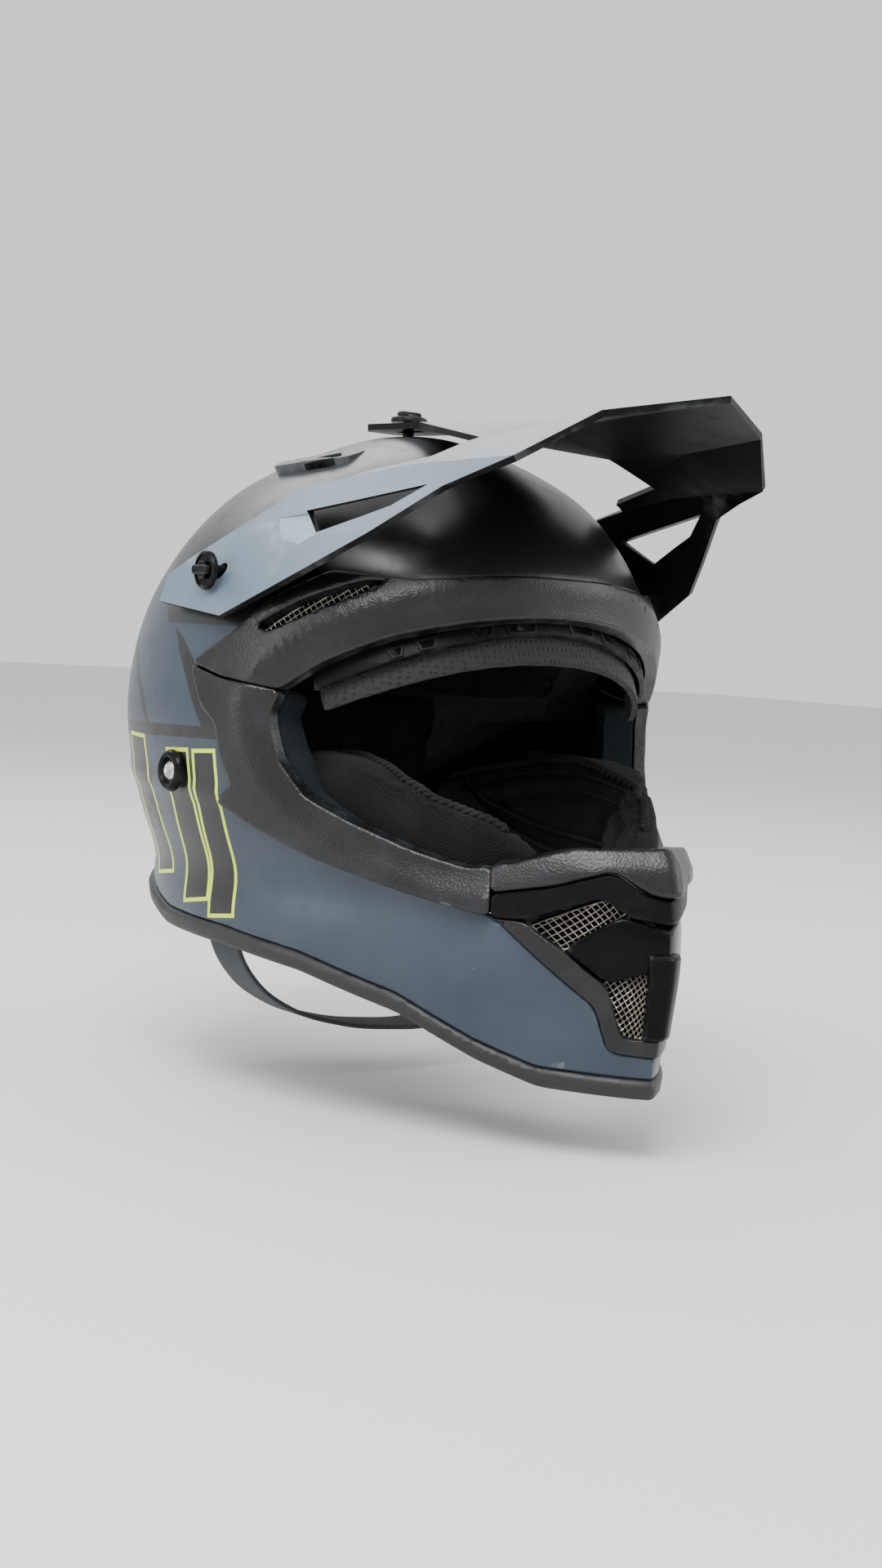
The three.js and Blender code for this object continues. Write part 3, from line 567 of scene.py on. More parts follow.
# %% The outlines that several pieces share
NOSE = -240
EYEPORT = [(NOSE, 86), (-131, 85), (-106, 73), (-86, 60), (-71, 47), (-67, 36), (-71, 18), (-82, 3),
           (-99, -5), (-123, -14), (-143, -19), (-158, -15), (-176, -7), (NOSE, -2)]
SHELL_PORT = [(NOSE, 101), (-124, 100), (-104, 95), (-78, 97), (-58, 84), (-44, 69), (-22, 55), (-33, 37),
              (-42, 31), (-43, 20), (-48, 6), (-37, -2), (-57, -11), (-84, -21), (-122, -31), (-153, -37),
              (-184, -69), (-187, -87), (NOSE, -93)]
RIM = [(NOSE, -107), (-165, -104), (-144, -96), (-115, -81), (-72, -70), (-30, -65), (20, -63), (60, -54),
       (160, -44)]
BEAD = 8
OVER = 6        # how far a pattern runs past the back line and the pole before it is cut off


def raised(line, by):
    return [(y, z + by) for y, z in line]


def over_the_back(path):
    """An open path's last point, carried on past the back line."""
    return [p for p in path if p[0] < BACK - 1] + [(BACK + OVER, path[-1][1])]


def shell_relief(turn, height, depth):
    side = np.clip(np.sin(np.abs(turn)) * 1.6 - 0.4, 0, 1)
    pinch = -3.2 * np.exp(-((height + 34) / 13) ** 2) * side * (np.cos(turn) < 0.75)
    crease = 1.1 * np.exp(-((height - 1 + 6 * np.cos(turn)) / 3.5) ** 2) * side
    return pinch + np.where(depth > -2, crease, 0)


port = [p for p in laid_out(SHELL_PORT, 4)]
first = min(range(len(port)), key=lambda i: (port[i][0] > ON_NOSE, port[i][1]))
port = port[first:] + port[:first]
above_bead = over_the_back(laid_out(raised(RIM, BEAD + 0.2), 3, closed=False))
shell_half = ([(0, -OVER), (0, port[0][1])] + port[1:-1] + [(0, port[-1][1])] + above_bead
              + [(BACK + OVER, -OVER)])
# The shell's inner faces take the near-black: their unpainted side, and painted shade as well.
fitted("shell", shell_half, (0, -4), [PAINT, INSIDE_AND_SHADE_BLACK], radius=0.9, step=3.6, relief=shell_relief, flat=True,
       stands_for="outer_shell")


def bead_relief(turn, height, depth):
    """A little of the shell's pinch, without its crease."""
    return shell_relief(turn, height, np.full_like(depth, -9)) * 0.3


bead_low, bead_high = (over_the_back(laid_out(raised(RIM, by), 3, closed=False)) for by in (0, BEAD))
fitted("rim_bead", bead_low + bead_high[::-1], (1.9, -4.5), RUBBER, radius=2.2, step=4, relief=bead_relief,
       flat=True, stands_for="rim_trim")

# %% [markdown]
# ## The trims round the face opening
# Three mouldings frame the opening: one over the brow and one at each side. Their inner edge falls away
# towards the face in a broad facet, which catches the light, so the relief looks up how near a point is to
# the edge of the opening.

# %% Brow and side trims
opening = np.array([tuple(p) for p in eased(EYEPORT, 8)])


def from_opening(turn, height):
    """Distance in side view from the edge of the face opening, in millimetres."""
    y, z = skin_point(turn, height)[..., 1], height
    return np.min(np.hypot(y[:, None] - opening[None, ::4, 0], z[:, None] - opening[None, ::4, 1]), axis=1)


def trim_relief(turn, height, depth):
    near = np.clip(1 - from_opening(turn, height) / 13, 0, 1)
    lip = np.clip(1 - from_opening(turn, height) / 2.5, 0, 1)
    return np.where(depth > -4, 1.2 - 6.2 * near + 0.9 * lip, 0)


BROW_VENT = [(-55, 72), (-72, 84), (-90, 93), (-98, 93.5), (-91, 87.5), (-76, 78), (-62, 70)]
port_in = grown(SHELL_PORT, -0.2)
port_out = port_in[6]
brow = port_in[:6] + [(port_out[0], port_out[1] + 0.4), (-44, 50.3), (-70.5, 47.3)] + EYEPORT[3::-1]
fitted("brow_moulding", brow, (2.2, -8), GRAIN, radius=1.2, step=3.4, holes=[BROW_VENT], relief=trim_relief,
       stands_for="brow_trim", sharp=50)
side_trim = ([(-44, 49.7), (port_out[0], port_out[1] - 0.4)] + port_in[7:15] + [(-152, -37), (-152, -17.5)]
             + EYEPORT[10:3:-1])
for side, name in ((RIGHT, "right"), (LEFT, "left")):
    fitted(f"port_moulding_{name}", side_trim, (2.2, -8), GRAIN, radius=1.2, step=3.2, sides=side,
           relief=trim_relief, stands_for=f"eyeport_trim_{name}", sharp=50)

# %% [markdown]
# ## The nose guard and the chin vent
# The nose guard is a beak over the chin bar. Under it come a cover, two mesh windows on each side with a
# glossy blade between them, a glossy ridge down the middle, and a frame round the lot.

# %% Nose guard, cover, frame, blades and ridge
END = -152
GUARD_HEM = [(-172, -22), (-187, -15), (-197, -24), (NOSE, -34)]
COVER_HEM = [(NOSE, -44), (-193, -33), (-185, -26), (-163, -37)]
UPPER_VENT = [(-166, -40), (-186, -28), (-191, -31), (-175, -47)]
BLADE = [(-175, -47), (-191, -32), (-203, -37), (-203, -52), (-188, -60)]
LOWER_VENT = [(-188, -60), (-197, -49), (-206, -52), (-206, -80), (-192, -80)]


def beak(turn, height, depth):
    middle = np.exp(-(turn / 0.16) ** 2)
    return np.where(depth > -4, 2.2 * middle - 3.5 * np.clip(1 - from_opening(turn, height) / 8, 0, 1), 0)


guard = [(END + 0.4, -16), (END, -27)] + GUARD_HEM + [(NOSE, -2)] + EYEPORT[12:10:-1]
fitted("nose_beak", guard, (4.5, -8), GRAIN, radius=1.5, step=3, relief=beak, stands_for="nose_guard",
       sharp=50)
cover = [(END, -27.5)] + raised(GUARD_HEM, -0.6) + raised(COVER_HEM, 0.3) + [(END, -37)]
fitted("chin_cover", cover, (2.5, -6), SATIN, radius=1, step=3, stands_for="chin_vent_cover")
vent_rim = ([(END - 0.4, -37.4), (-163, -37.6), (-166, -40.4), (-175, -47.6), (-188, -61), (-191, -81),
             (NOSE, -81)] + port_in[:14:-1] + [(-153.4, -37.8)])
fitted("chin_frame", vent_rim, (1.2, -6), GRAIN, radius=0.8, step=3, stands_for="chin_vent_frame")
for side, name in ((RIGHT, "right"), (LEFT, "left")):
    fitted(f"chin_blade_{name}", grown(BLADE, -0.3), (0.8, -3), GLOSS, radius=1.2, step=3, sides=side,
           stands_for=f"chin_vent_blade_{name}")
ridge_half = [(0, row_of(-46.5)), (20, row_of(-46.5)), (17, row_of(-81)), (0, row_of(-81))]
fitted("chin_ridge", ridge_half, (3.6, -6), GLOSS, radius=1.8, step=3, flat=True,
       stands_for="chin_vent_ridge")


# %% [markdown]
# ## Woven wire
# The vents are covered by wire cloth laid on the bias. A wireframe of a slanting grid gives the wires, and
# pushing every other crossing in and out makes it look woven.

# %% Mesh windows
def wire_cloth(name, outline, side, stands_for, pitch=2.3, wire=0.8, layer=-2.6):
    bm = cut_out(laid_out(outline, 1.5, spacing=1.2), side)
    gridded(bm, pitch, slant=math.radians(38))
    weave = 0.25
    for vert in bm.verts:
        over_under = math.sin(vert.co.x / pitch * math.pi) * math.sin(vert.co.y / pitch * math.pi)
        vert.co.z = layer + weave * over_under
    wrapped(bm)
    bmesh.ops.wireframe(bm, faces=bm.faces[:], thickness=wire, use_replace=True, use_boundary=True,
                        use_even_offset=False)
    return finish_piece(bm, name, WIRE, stands_for=stands_for, sharp=80)


for side, name in ((RIGHT, "right"), (LEFT, "left")):
    for place, outline in (("brow", BROW_VENT), ("chin_upper", UPPER_VENT), ("chin_lower", LOWER_VENT)):
        # Behind each wire window a near-black sheet is painted shade where the vent opens into the helmet.
        fitted(f"{place}_shade_backing_{name}", grown(outline, 2.2), (-5.4, -6.4), INSIDE_AND_SHADE_BLACK, radius=0.3, sides=side)
    wire_cloth(f"brow_wire_{name}", grown(BROW_VENT, 1.2), side, f"brow_vent_mesh_{name}")
    wire_cloth(f"chin_wire_upper_{name}", grown(UPPER_VENT, 1), side, f"chin_mesh_upper_{name}")
    wire_cloth(f"chin_wire_lower_{name}", grown(LOWER_VENT, 1), side, f"chin_mesh_lower_{name}")
print("wire cloth", sum(len(p.data.polygons) for p in PIECES if "wire" in p.name), "faces")

# %% [markdown]
# ## The peak
# The peak is a thin moulding folded from flat panels: a V-shaped roof, a shoulder, and an arm on each side
# that runs back to a screw. A few corner points and faces describe it best. One side is built and mirrored,
# then it is given a wall, windows are cut through the arms, and the folds are softened by a bevel.

# %% Corners and panels of the peak
CORNERS = {
    "ridge_front": (0, -108, 167), "tip": (0, -217, 172), "ridge_back": (0, -36, 169),
    "roof_back": (-43, -108, 154), "roof_front": (-43, -192, 163), "lip": (-68, -171, 144),
    "brow": (-71, -112, 142), "valley": (-36, -108, 156.5), "tongue": (-15, -36, 168),
    "arm_1": (-76, -137, 132), "flange_2": (-77, -74, 137), "arm_2": (-92, -112, 113),
    "arm_3": (-104, -93, 100), "top_3": (-83, -46, 132), "arm_4": (-117, -42, 76), "top_4": (-111, -2, 99),
    "end_top": (-112, 11, 93), "end_low": (-116, 11, 81), "flange_in": (-70, -76, 140),
    "flange_front": (-62, -110, 146), "tail_front": (-14, -30, 168.9), "tail_side": (-14, 6, 168.9),
    "tail_corner": (-9, 13, 168.9), "tail_end": (0, 13, 168.9),
}
PANELS = [
    "ridge_front valley roof_back roof_front tip", "ridge_front ridge_back tongue valley",
    "roof_back flange_front brow lip roof_front", "lip brow arm_1", "brow flange_2 arm_2 arm_1",
    "flange_2 top_3 arm_3 arm_2", "top_3 top_4 arm_4 arm_3", "top_4 end_top end_low arm_4",
    "flange_front flange_in flange_2 brow", "ridge_back tail_end tail_corner tail_side tongue",
]
SIDE_WINDOW = [(-128, 133), (-114, 124), (-78, 112), (-62, 122)]


def peak_paint():
    paint = Finish("peak_paint", (0.11, 0.15, 0.19), 0.4, Coat_Roughness=0.3, Specular_IOR_Level=0.4)
    cloud = paint.noise(45, 4)
    side = paint.band(abs(paint.x) + cloud * 8, 62, 78)
    roof = paint.mix(paint.band(paint.y * -1 + cloud * 30, 40, 220), (0.22, 0.235, 0.25), (0.12, 0.13, 0.14))
    colour = paint.mix(side, roof, paint.mix(cloud, (0.095, 0.135, 0.175), (0.125, 0.168, 0.21)))
    scuffs = paint.band(paint.noise(13, 6, 0.7), 0.5, 0.8)
    paint.set(Base_Color=paint.worn(colour, (0.32, 0.36, 0.39), 0.5), Roughness=0.36 + scuffs * 0.14,
              Coat_Weight=0.15 - scuffs * 0.1, Normal=paint.bump(paint.noise(0.9, 2), 0.12, 0.1))
    return paint.material


PEAK_PAINT = peak_paint()
PALE_PAINT = smooth_plastic("pale_paint", (0.22, 0.28, 0.33), 0.42)


def on_arm(y, z, lift=0.0):
    """The point of the right arm's outer face at a place in side view, and a lift off it."""
    a, b, c = (Vector(CORNERS[name]) for name in ("top_3", "arm_3", "arm_2"))
    normal = (b - a).cross(c - a).normalized()
    normal *= math.copysign(1, -normal.x)
    x = a.x - (normal.y * (y - a.y) + normal.z * (z - a.z)) / normal.x
    return Vector((x, y, z)) + normal * lift


def block(name, bottom, top, material):
    """A solid between two rings of points, for cutting. It isn't kept."""
    bm = bmesh.new()
    rings = [[bm.verts.new(p) for p in ring] for ring in (bottom, top)]
    edges = [[bm.edges.new(pair) for pair in zip(ring, ring[1:] + ring[:1])] for ring in rings]
    for ring in rings:
        bm.faces.new(ring)
    bmesh.ops.bridge_loops(bm, edges=edges[0] + edges[1])
    bmesh.ops.recalc_face_normals(bm, faces=bm.faces)
    bmesh.ops.scale(bm, vec=(MM,) * 3, verts=bm.verts)
    mesh = bpy.data.meshes.new(name)
    bm.to_mesh(mesh)
    bm.free()
    mesh.materials.append(material)
    return bpy.data.objects.new(name, mesh)


def applied(piece):
    """The piece's mesh with its modifiers made real."""
    bpy.context.view_layer.update()
    made = bpy.data.meshes.new_from_object(piece.evaluated_get(bpy.context.evaluated_depsgraph_get()))
    piece.modifiers.clear()
    piece.data = made
    return piece


def cut_by(piece, cutter):
    bpy.context.scene.collection.objects.link(cutter)
    modifier = piece.modifiers.new("cut", "BOOLEAN")
    modifier.object, modifier.operation, modifier.solver = cutter, "DIFFERENCE", "EXACT"
    modifier.material_mode = "TRANSFER"
    applied(piece)
    bpy.data.objects.remove(cutter)


# %% Build the peak
bm = bmesh.new()
corner = {name: bm.verts.new(place) for name, place in CORNERS.items()}
for panel in PANELS:
    bm.faces.new([corner[name] for name in panel.split()])
bmesh.ops.mirror(bm, geom=everything(bm), axis="X", merge_dist=0.01)
bmesh.ops.recalc_face_normals(bm, faces=bm.faces)
roof = min(bm.faces, key=lambda f: (f.calc_center_median() - Vector((0, -150, 165))).length)
if roof.normal.z < 0:
    bmesh.ops.reverse_faces(bm, faces=bm.faces)
bmesh.ops.subdivide_edges(bm, edges=bm.edges, cuts=1, use_grid_fill=True)
bmesh.ops.triangulate(bm, faces=[f for f in bm.faces if len(f.verts) > 4])
peak = finish_piece(bm, "peak_moulding", [PEAK_PAINT, SATIN], body="peak", stands_for="peak")
wall = peak.modifiers.new("wall", "SOLIDIFY")
wall.thickness, wall.offset, wall.material_offset, wall.material_offset_rim = 2.8 * MM, -1, 1, 1
wall.use_even_offset = True
applied(peak)
ROUND = np.linspace(0, 2 * math.pi, 24, False)
SCREW_Y, SCREW_Z, HOLE = -28, 95, 3.6
SLOT_Y, SLOT_HALF, SLOT_RADIUS = -8.2, 5.2, 3.2
for side in BOTH:
    pocket_ring = [(-80, 111.5), (-64, 121), (-46, 119.5), (-61, 103.5)]
    places = [[on_arm(y, z, lift) for y, z in pocket_ring] for lift in (-1.2, 6)]
    cut_by(peak, block("pocket", *[[(p.x * -side, p.y, p.z) for p in ring] for ring in places], PALE_PAINT))
    ends = [[(side * x, y, z) for y, z in SIDE_WINDOW] for x in (40, 150)]
    cut_by(peak, block("window", *ends, SATIN))
    hole = [[(side * x, SCREW_Y + HOLE * math.cos(t), SCREW_Z + HOLE * math.sin(t)) for t in ROUND]
            for x in (60, 150)]
    cut_by(peak, block("hole", *hole, SATIN))
slot_ring = [(SLOT_RADIUS * math.cos(t),
              SLOT_Y + SLOT_HALF * (1 if math.sin(t) > 0 else -1) + SLOT_RADIUS * math.sin(t)) for t in ROUND]
cut_by(peak, block("slot", *[[(x, y, z) for x, y in slot_ring] for z in (150, 180)], SATIN))
bm = bmesh.new()
bm.from_mesh(peak.data)
bmesh.ops.dissolve_limit(bm, angle_limit=math.radians(1.5), verts=bm.verts, edges=bm.edges,
                         delimit={"MATERIAL"})
bmesh.ops.remove_doubles(bm, verts=bm.verts, dist=0.00005)
bm.to_mesh(peak.data)
bm.free()
soft = peak.modifiers.new("soft folds", "BEVEL")
soft.width, soft.segments, soft.limit_method, soft.angle_limit = 0.7 * MM, 3, "ANGLE", math.radians(14)
soft.harden_normals = False
peak.data.shade_smooth()
peak.data.set_sharp_from_angle(angle=math.radians(30))
weighted(peak)
print("peak", len(peak.data.polygons), "faces before its bevel")

# %% [markdown]
# ## Screws
# Three glossy screws with a bar to grip hold the peak. A turned head comes from spinning half its outline
# round its axis. The bar is a bevelled block on top.

# %% Screws and other turned parts
def turned(profile, steps=48):
    bm = bmesh.new()
    line = [bm.verts.new((radius, 0, height)) for radius, height in profile]
    edges = [bm.edges.new(pair) for pair in zip(line, line[1:])]
    bmesh.ops.spin(bm, geom=line + edges, cent=(0, 0, 0), axis=(0, 0, 1), steps=steps, angle=2 * math.pi,
                   use_merge=True)
    bmesh.ops.remove_doubles(bm, verts=bm.verts, dist=0.001)
    return bm


def aimed(bm, place, direction):
    turn = Vector(direction).to_track_quat("Z", "Y").to_matrix().to_4x4()
    bmesh.ops.transform(bm, matrix=Matrix.Translation(place) @ turn, verts=bm.verts)


def add_block(bm, size, middle, bevel=0.6):
    made = bmesh.ops.create_cube(bm, size=1)["verts"]
    bmesh.ops.scale(bm, vec=size, verts=made)
    bmesh.ops.translate(bm, vec=middle, verts=made)
    edges = list({edge for vert in made for edge in vert.link_edges})
    bmesh.ops.bevel(bm, geom=edges, offset=bevel, segments=3, profile=0.5, affect="EDGES", material=-1)


SCREW = [(0, -16), (2.6, -16), (2.6, 0), (8.2, 0), (8.5, 0.4), (8.5, 1.5), (8, 2.3), (7.3, 2.6), (6.8, 2.3),
         (6.5, 1.9), (3.2, 1.9), (2.8, 2.2), (0, 2.2)]
for name, place, direction in (("top", (0, -7, 170.2), (0, 0, 1)), ("left", (115.2, -28, 95), (1, 0, 0)),
                               ("right", (-115.2, -28, 95), (-1, 0, 0))):
    screw = turned(SCREW)
    add_block(screw, (12, 4.2, 3.2), (0, 0, 3.6), 1.3)
    add_block(screw, (4.6, 7.6, 2.2), (0, 0, 2.9), 0.9)
    aimed(screw, place, direction)
    head = finish_piece(screw, f"screw_{name}_head", GLOSS, body=f"screw_{name}",
                        stands_for=f"peak_screw_{name}", sharp=35)
    weighted(head)
    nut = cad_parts[f"peak_nut_{name}"]
    nut.data.materials.clear()
    nut.data.materials.append(STEEL)
print("3 screws of", len(head.data.polygons), "faces each")

# %% [markdown]
# ## Crown vents
# Two low scoops sit on the crown. Each rises from nothing at its upper edge to a lip, so its relief grows
# down the slope. Under the lip a dark plate is painted shade standing for the slot.

# %% Scoops and their slots
CROWN_VENT = [(-34, 146.5), (-27, 154), (-6, 152.5), (8, 140.5), (-12, 142)]
CROWN_SLOT = [(-27, 148.6), (-12, 144.8), (3, 142.4), (-12, 142.2), (-29, 144.6)]


def scoop(turn, height, depth):
    return np.where(depth > 0, 4.0 * np.clip((153 - height) / 10, 0, 1) ** 1.2, 0)


for side, name in ((RIGHT, "right"), (LEFT, "left")):
    fitted(f"crown_scoop_{name}", CROWN_VENT, (0.5, -0.4), PAINT, radius=0.4, corner=4, step=2.5,
           sides=side, relief=scoop, stands_for=f"crown_vent_{name}", sharp=60)
    # The slot is a near-black plate under the scoop's lip: painted shade for the vent's opening.
    fitted(f"crown_slot_shade_{name}", CROWN_SLOT, (3.3, -0.4), INSIDE_AND_SHADE_BLACK, radius=0.3, corner=1.5, step=3, sides=side)

# %% [markdown]
# ## Fabrics
# The pads are covered in a black ribbed knit, the brow has an open spacer mesh that wicks sweat, a teal-grey
# brushed lining covers the foam behind the trims, and the strap is woven webbing. Each is a small repeat of
# threads: rows and columns of sine waves, or cells, that drive the bump and darken the gaps.

# %% Fabrics
def knit(name, dark, light, rib=1.5):
    cloth = Finish(name, dark, 0.92, Sheen_Weight=0.03, Specular_IOR_Level=0.12)
    wander = cloth.noise(5) * 0.9
    rows = ((cloth.z + wander) * (2 * math.pi / rib)).sine()
    loops = ((cloth.y + cloth.x * 0.7 + wander) * (2 * math.pi / (rib * 0.8))).sine()
    threads = (rows * loops * 0.5 + 0.5).held()
    fluff = cloth.band(cloth.noise(18, 5), 0.35, 0.75)
    cloth.set(Base_Color=cloth.mix(threads * 0.6 + fluff * 0.4, dark, light),
              Normal=cloth.bump(threads + cloth.noise(0.5) * 0.5, 0.5, 0.3))
    return cloth.material


def spacer_mesh():
    cloth = Finish("spacer_mesh", (0.012, 0.012, 0.013), 0.8, Sheen_Weight=0.05)
    holes = cloth.cells(2.6, spread=0.18)
    rim = cloth.band(holes, 0.22, 0.42)
    cloth.set(Base_Color=cloth.mix(rim, (0.0005, 0.0005, 0.0005), (0.006, 0.006, 0.007)),
              Normal=cloth.bump(rim, 0.9, 0.8))
    return cloth.material


def webbing_weave():
    cloth = Finish("strap_webbing", (0.03, 0.034, 0.037), 0.85, Sheen_Weight=0.1)
    along = cloth.node("Attribute", {"attribute_name": "along"}, out="Fac")
    zigzag = cloth.node("Math", {"operation": "PINGPONG"}, {0: cloth.y, 1: 3.0})
    twill = (along * 3.6 + abs(zigzag) * 3.2).sine()
    ribs = (cloth.y * 5.2).sine()
    threads = (twill * 0.35 + ribs * 0.15 + 0.5).held()
    shade = threads * 0.7 + cloth.noise(6) * 0.3
    cloth.set(Base_Color=cloth.mix(shade, (0.006, 0.0075, 0.009), (0.036, 0.042, 0.048)),
              Normal=cloth.bump(threads, 0.8, 0.35))
    return cloth.material


KNIT = knit("black_knit", (0.002, 0.002, 0.0022), (0.011, 0.011, 0.0125))
LINING = knit("teal_lining", (0.003, 0.005, 0.0062), (0.011, 0.0165, 0.0195), rib=1.1)
SPACER, WEBBING = spacer_mesh(), webbing_weave()
PIPING = knit("piping_cord", (0.004, 0.004, 0.0045), (0.024, 0.024, 0.027), rib=0.7)
THREAD = knit("sewing_thread", (0.012, 0.012, 0.0135), (0.05, 0.05, 0.055), rib=0.5)

# %% [markdown]
# ## Cushions
# A pad is a fabric bag over soft foam, so it bulges between its seams. The CAD block is remeshed into even
# squares, shrunk a little, then blown up by a short cloth simulation with pressure and no gravity, and no
# point may move more than a few millimetres. Seams are pressed in afterwards, because the remesh would
# close them.

# %% Blow up the cushions
CUSHIONS = {
    "cheek_cushion_left": ("cheek_pad_left", KNIT, 3.0),
    "cheek_cushion_right": ("cheek_pad_right", KNIT, 3.0),
    "crown_cushion": ("crown_pad", KNIT, 4.0), "rear_cushion": ("rear_pad", KNIT, 4.0),
    "brow_sweatband": ("brow_pad", SPACER, 3.0), "chin_cushion": ("chin_pad", KNIT, 3.5),
    "neck_cushion": ("neck_roll", LINING, 3.5),
}
CAP = 4.0


def places(mesh):
    flat = np.empty(len(mesh.vertices) * 3)
    mesh.vertices.foreach_get("co", flat)
    return flat.reshape(-1, 3)


cushions = {}
for name, (node, material, voxel) in CUSHIONS.items():
    bm = bmesh.new()
    bm.from_mesh(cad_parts[node].data)
    bmesh.ops.remove_doubles(bm, verts=bm.verts, dist=0.00001)
    mesh = bpy.data.meshes.new(name)
    bm.to_mesh(mesh)
    bm.free()
    pad = bpy.data.objects.new(name, mesh)
    bpy.context.scene.collection.objects.link(pad)
    remesh = pad.modifiers.new("squares", "REMESH")
    remesh.mode, remesh.voxel_size = "VOXEL", voxel * MM
    applied(pad)
    bm = bmesh.new()
    bm.from_mesh(pad.data)
    bmesh.ops.smooth_vert(bm, verts=bm.verts, factor=0.5, use_axis_x=True, use_axis_y=True, use_axis_z=True)
    bm.normal_update()
    for vert in bm.verts:
        vert.co -= vert.normal * 0.9 * MM
    bm.to_mesh(pad.data)
    bm.free()
    cushions[name] = (pad, places(pad.data))
    cloth = pad.modifiers.new("blown up", "CLOTH")
    cloth.settings.use_pressure, cloth.settings.uniform_pressure_force = True, 4
    cloth.settings.effector_weights.gravity = 0
    cloth.settings.quality = 4
    cloth.point_cache.frame_start, cloth.point_cache.frame_end = 1, 20
for step in range(1, 21):
    bpy.context.scene.frame_set(step)
for name, (pad, before) in cushions.items():
    applied(pad)
    moved = places(pad.data) - before
    length = np.linalg.norm(moved, axis=1, keepdims=True)
    after = before + moved * np.minimum(1, CAP * MM / np.maximum(length, 1e-9))
    pad.data.vertices.foreach_set("co", after.ravel())
    bm = bmesh.new()
    bm.from_mesh(pad.data)
    bmesh.ops.smooth_vert(bm, verts=bm.verts, factor=0.5, use_axis_x=True, use_axis_y=True, use_axis_z=True)
    bmesh.ops.subdivide_edges(bm, edges=bm.edges, cuts=1, use_grid_fill=True, smooth=0.5)
    bm.to_mesh(pad.data)
    bm.free()
    pad.data.update()
    print(name, len(pad.data.polygons), "faces, moved at most", round(float(length.max()) * 1000, 1), "mm")
bpy.context.scene.frame_set(1)
bpy.context.view_layer.update()

# %% Press the seams in and lay cords on them
def pressed(pad, path, width, depth):
    """Pushes the cushion in along a path, deepest on it."""
    spots, line = places(pad.data), np.array(path)
    normals = np.array([v.normal for v in pad.data.vertices])
    near = np.min(np.linalg.norm(spots[:, None] - line[None], axis=2), axis=1)
    push = depth * MM * np.exp(-(near / (width * MM)) ** 2)
    pad.data.vertices.foreach_set("co", (spots - normals * push[:, None]).ravel())
    pad.data.update()
    bpy.context.view_layer.update()


def on_cushion(pad, points, start, direction, steps=4, lift=0.0):
    """A side-view path laid on a cushion by looking at it from the middle of the helmet."""
    line = []
    for y, z in eased(points, 12, closed=False)[::steps]:
        for drop in np.arange(0, 9, 0.5):
            hit, place, normal, _ = pad.ray_cast(Vector((start, y, z - drop)) * MM, Vector(direction))
            if hit:
                line.append(place + (Vector((0, 0, 0.6)) - Vector(direction)).normalized() * lift * MM)
                break
    for _ in range(4):
        line[1:-1] = [(a + b * 2 + c) / 4 for a, b, c in zip(line, line[1:], line[2:])]
    return line


def strands(name, paths, radius, material, body="root", closed=False):
    """Round threads along paths, as one piece."""
    curve = bpy.data.curves.new(name, "CURVE")
    curve.dimensions, curve.use_fill_caps = "3D", True
    curve.bevel_depth, curve.bevel_resolution = radius * MM, 2
    for path in paths:
        spline = curve.splines.new("POLY")
        spline.points.add(len(path) - 1)
        spline.use_cyclic_u = closed
        for point, place in zip(spline.points, path):
            point.co = (*place, 1)
    raw = bpy.data.objects.new(name, curve)
    bpy.context.scene.collection.objects.link(raw)
    bpy.context.view_layer.update()
    mesh = bpy.data.meshes.new_from_object(raw.evaluated_get(bpy.context.evaluated_depsgraph_get()))
    bpy.data.objects.remove(raw)
    bm = bmesh.new()
    bm.from_mesh(mesh)
    bmesh.ops.scale(bm, vec=(1 / MM,) * 3, verts=bm.verts)
    return finish_piece(bm, name, material, body=body, sharp=70)


def twisted(line, radius, lay=7.0, plies=2):
    """The paths of the plies of a cord twisted round a line."""
    fine = [Vector(line[0])]
    for a, b in zip(line, line[1:]):
        count = max(int((Vector(b) - Vector(a)).length / (0.8 * MM)), 1)
        fine += [Vector(a).lerp(Vector(b), k / count) for k in range(1, count + 1)]
    paths, travelled = [[] for _ in range(plies)], 0
    for index, point in enumerate(fine):
        ahead = fine[min(index + 1, len(fine) - 1)] - fine[max(index - 1, 0)]
        across = ahead.cross(Vector((0, 0, 1))).normalized()
        over = across.cross(ahead).normalized()
        travelled += (point - fine[index - 1]).length if index else 0
        for ply in range(plies):
            angle = travelled / (lay * MM) * 2 * math.pi + ply * 2 * math.pi / plies
            paths[ply].append(point + (across * math.cos(angle) + over * math.sin(angle)) * radius * MM)
    return paths


def stitches(line, length=2.6, gap=1.3):
    """Short pieces of a line, one for each stitch."""
    fine = twisted(line, 0, plies=1)[0]
    step, skip = max(int(length / 0.8), 2), max(int(gap / 0.8), 1)
    return [fine[at:at + step] for at in range(0, len(fine) - step, step + skip)]


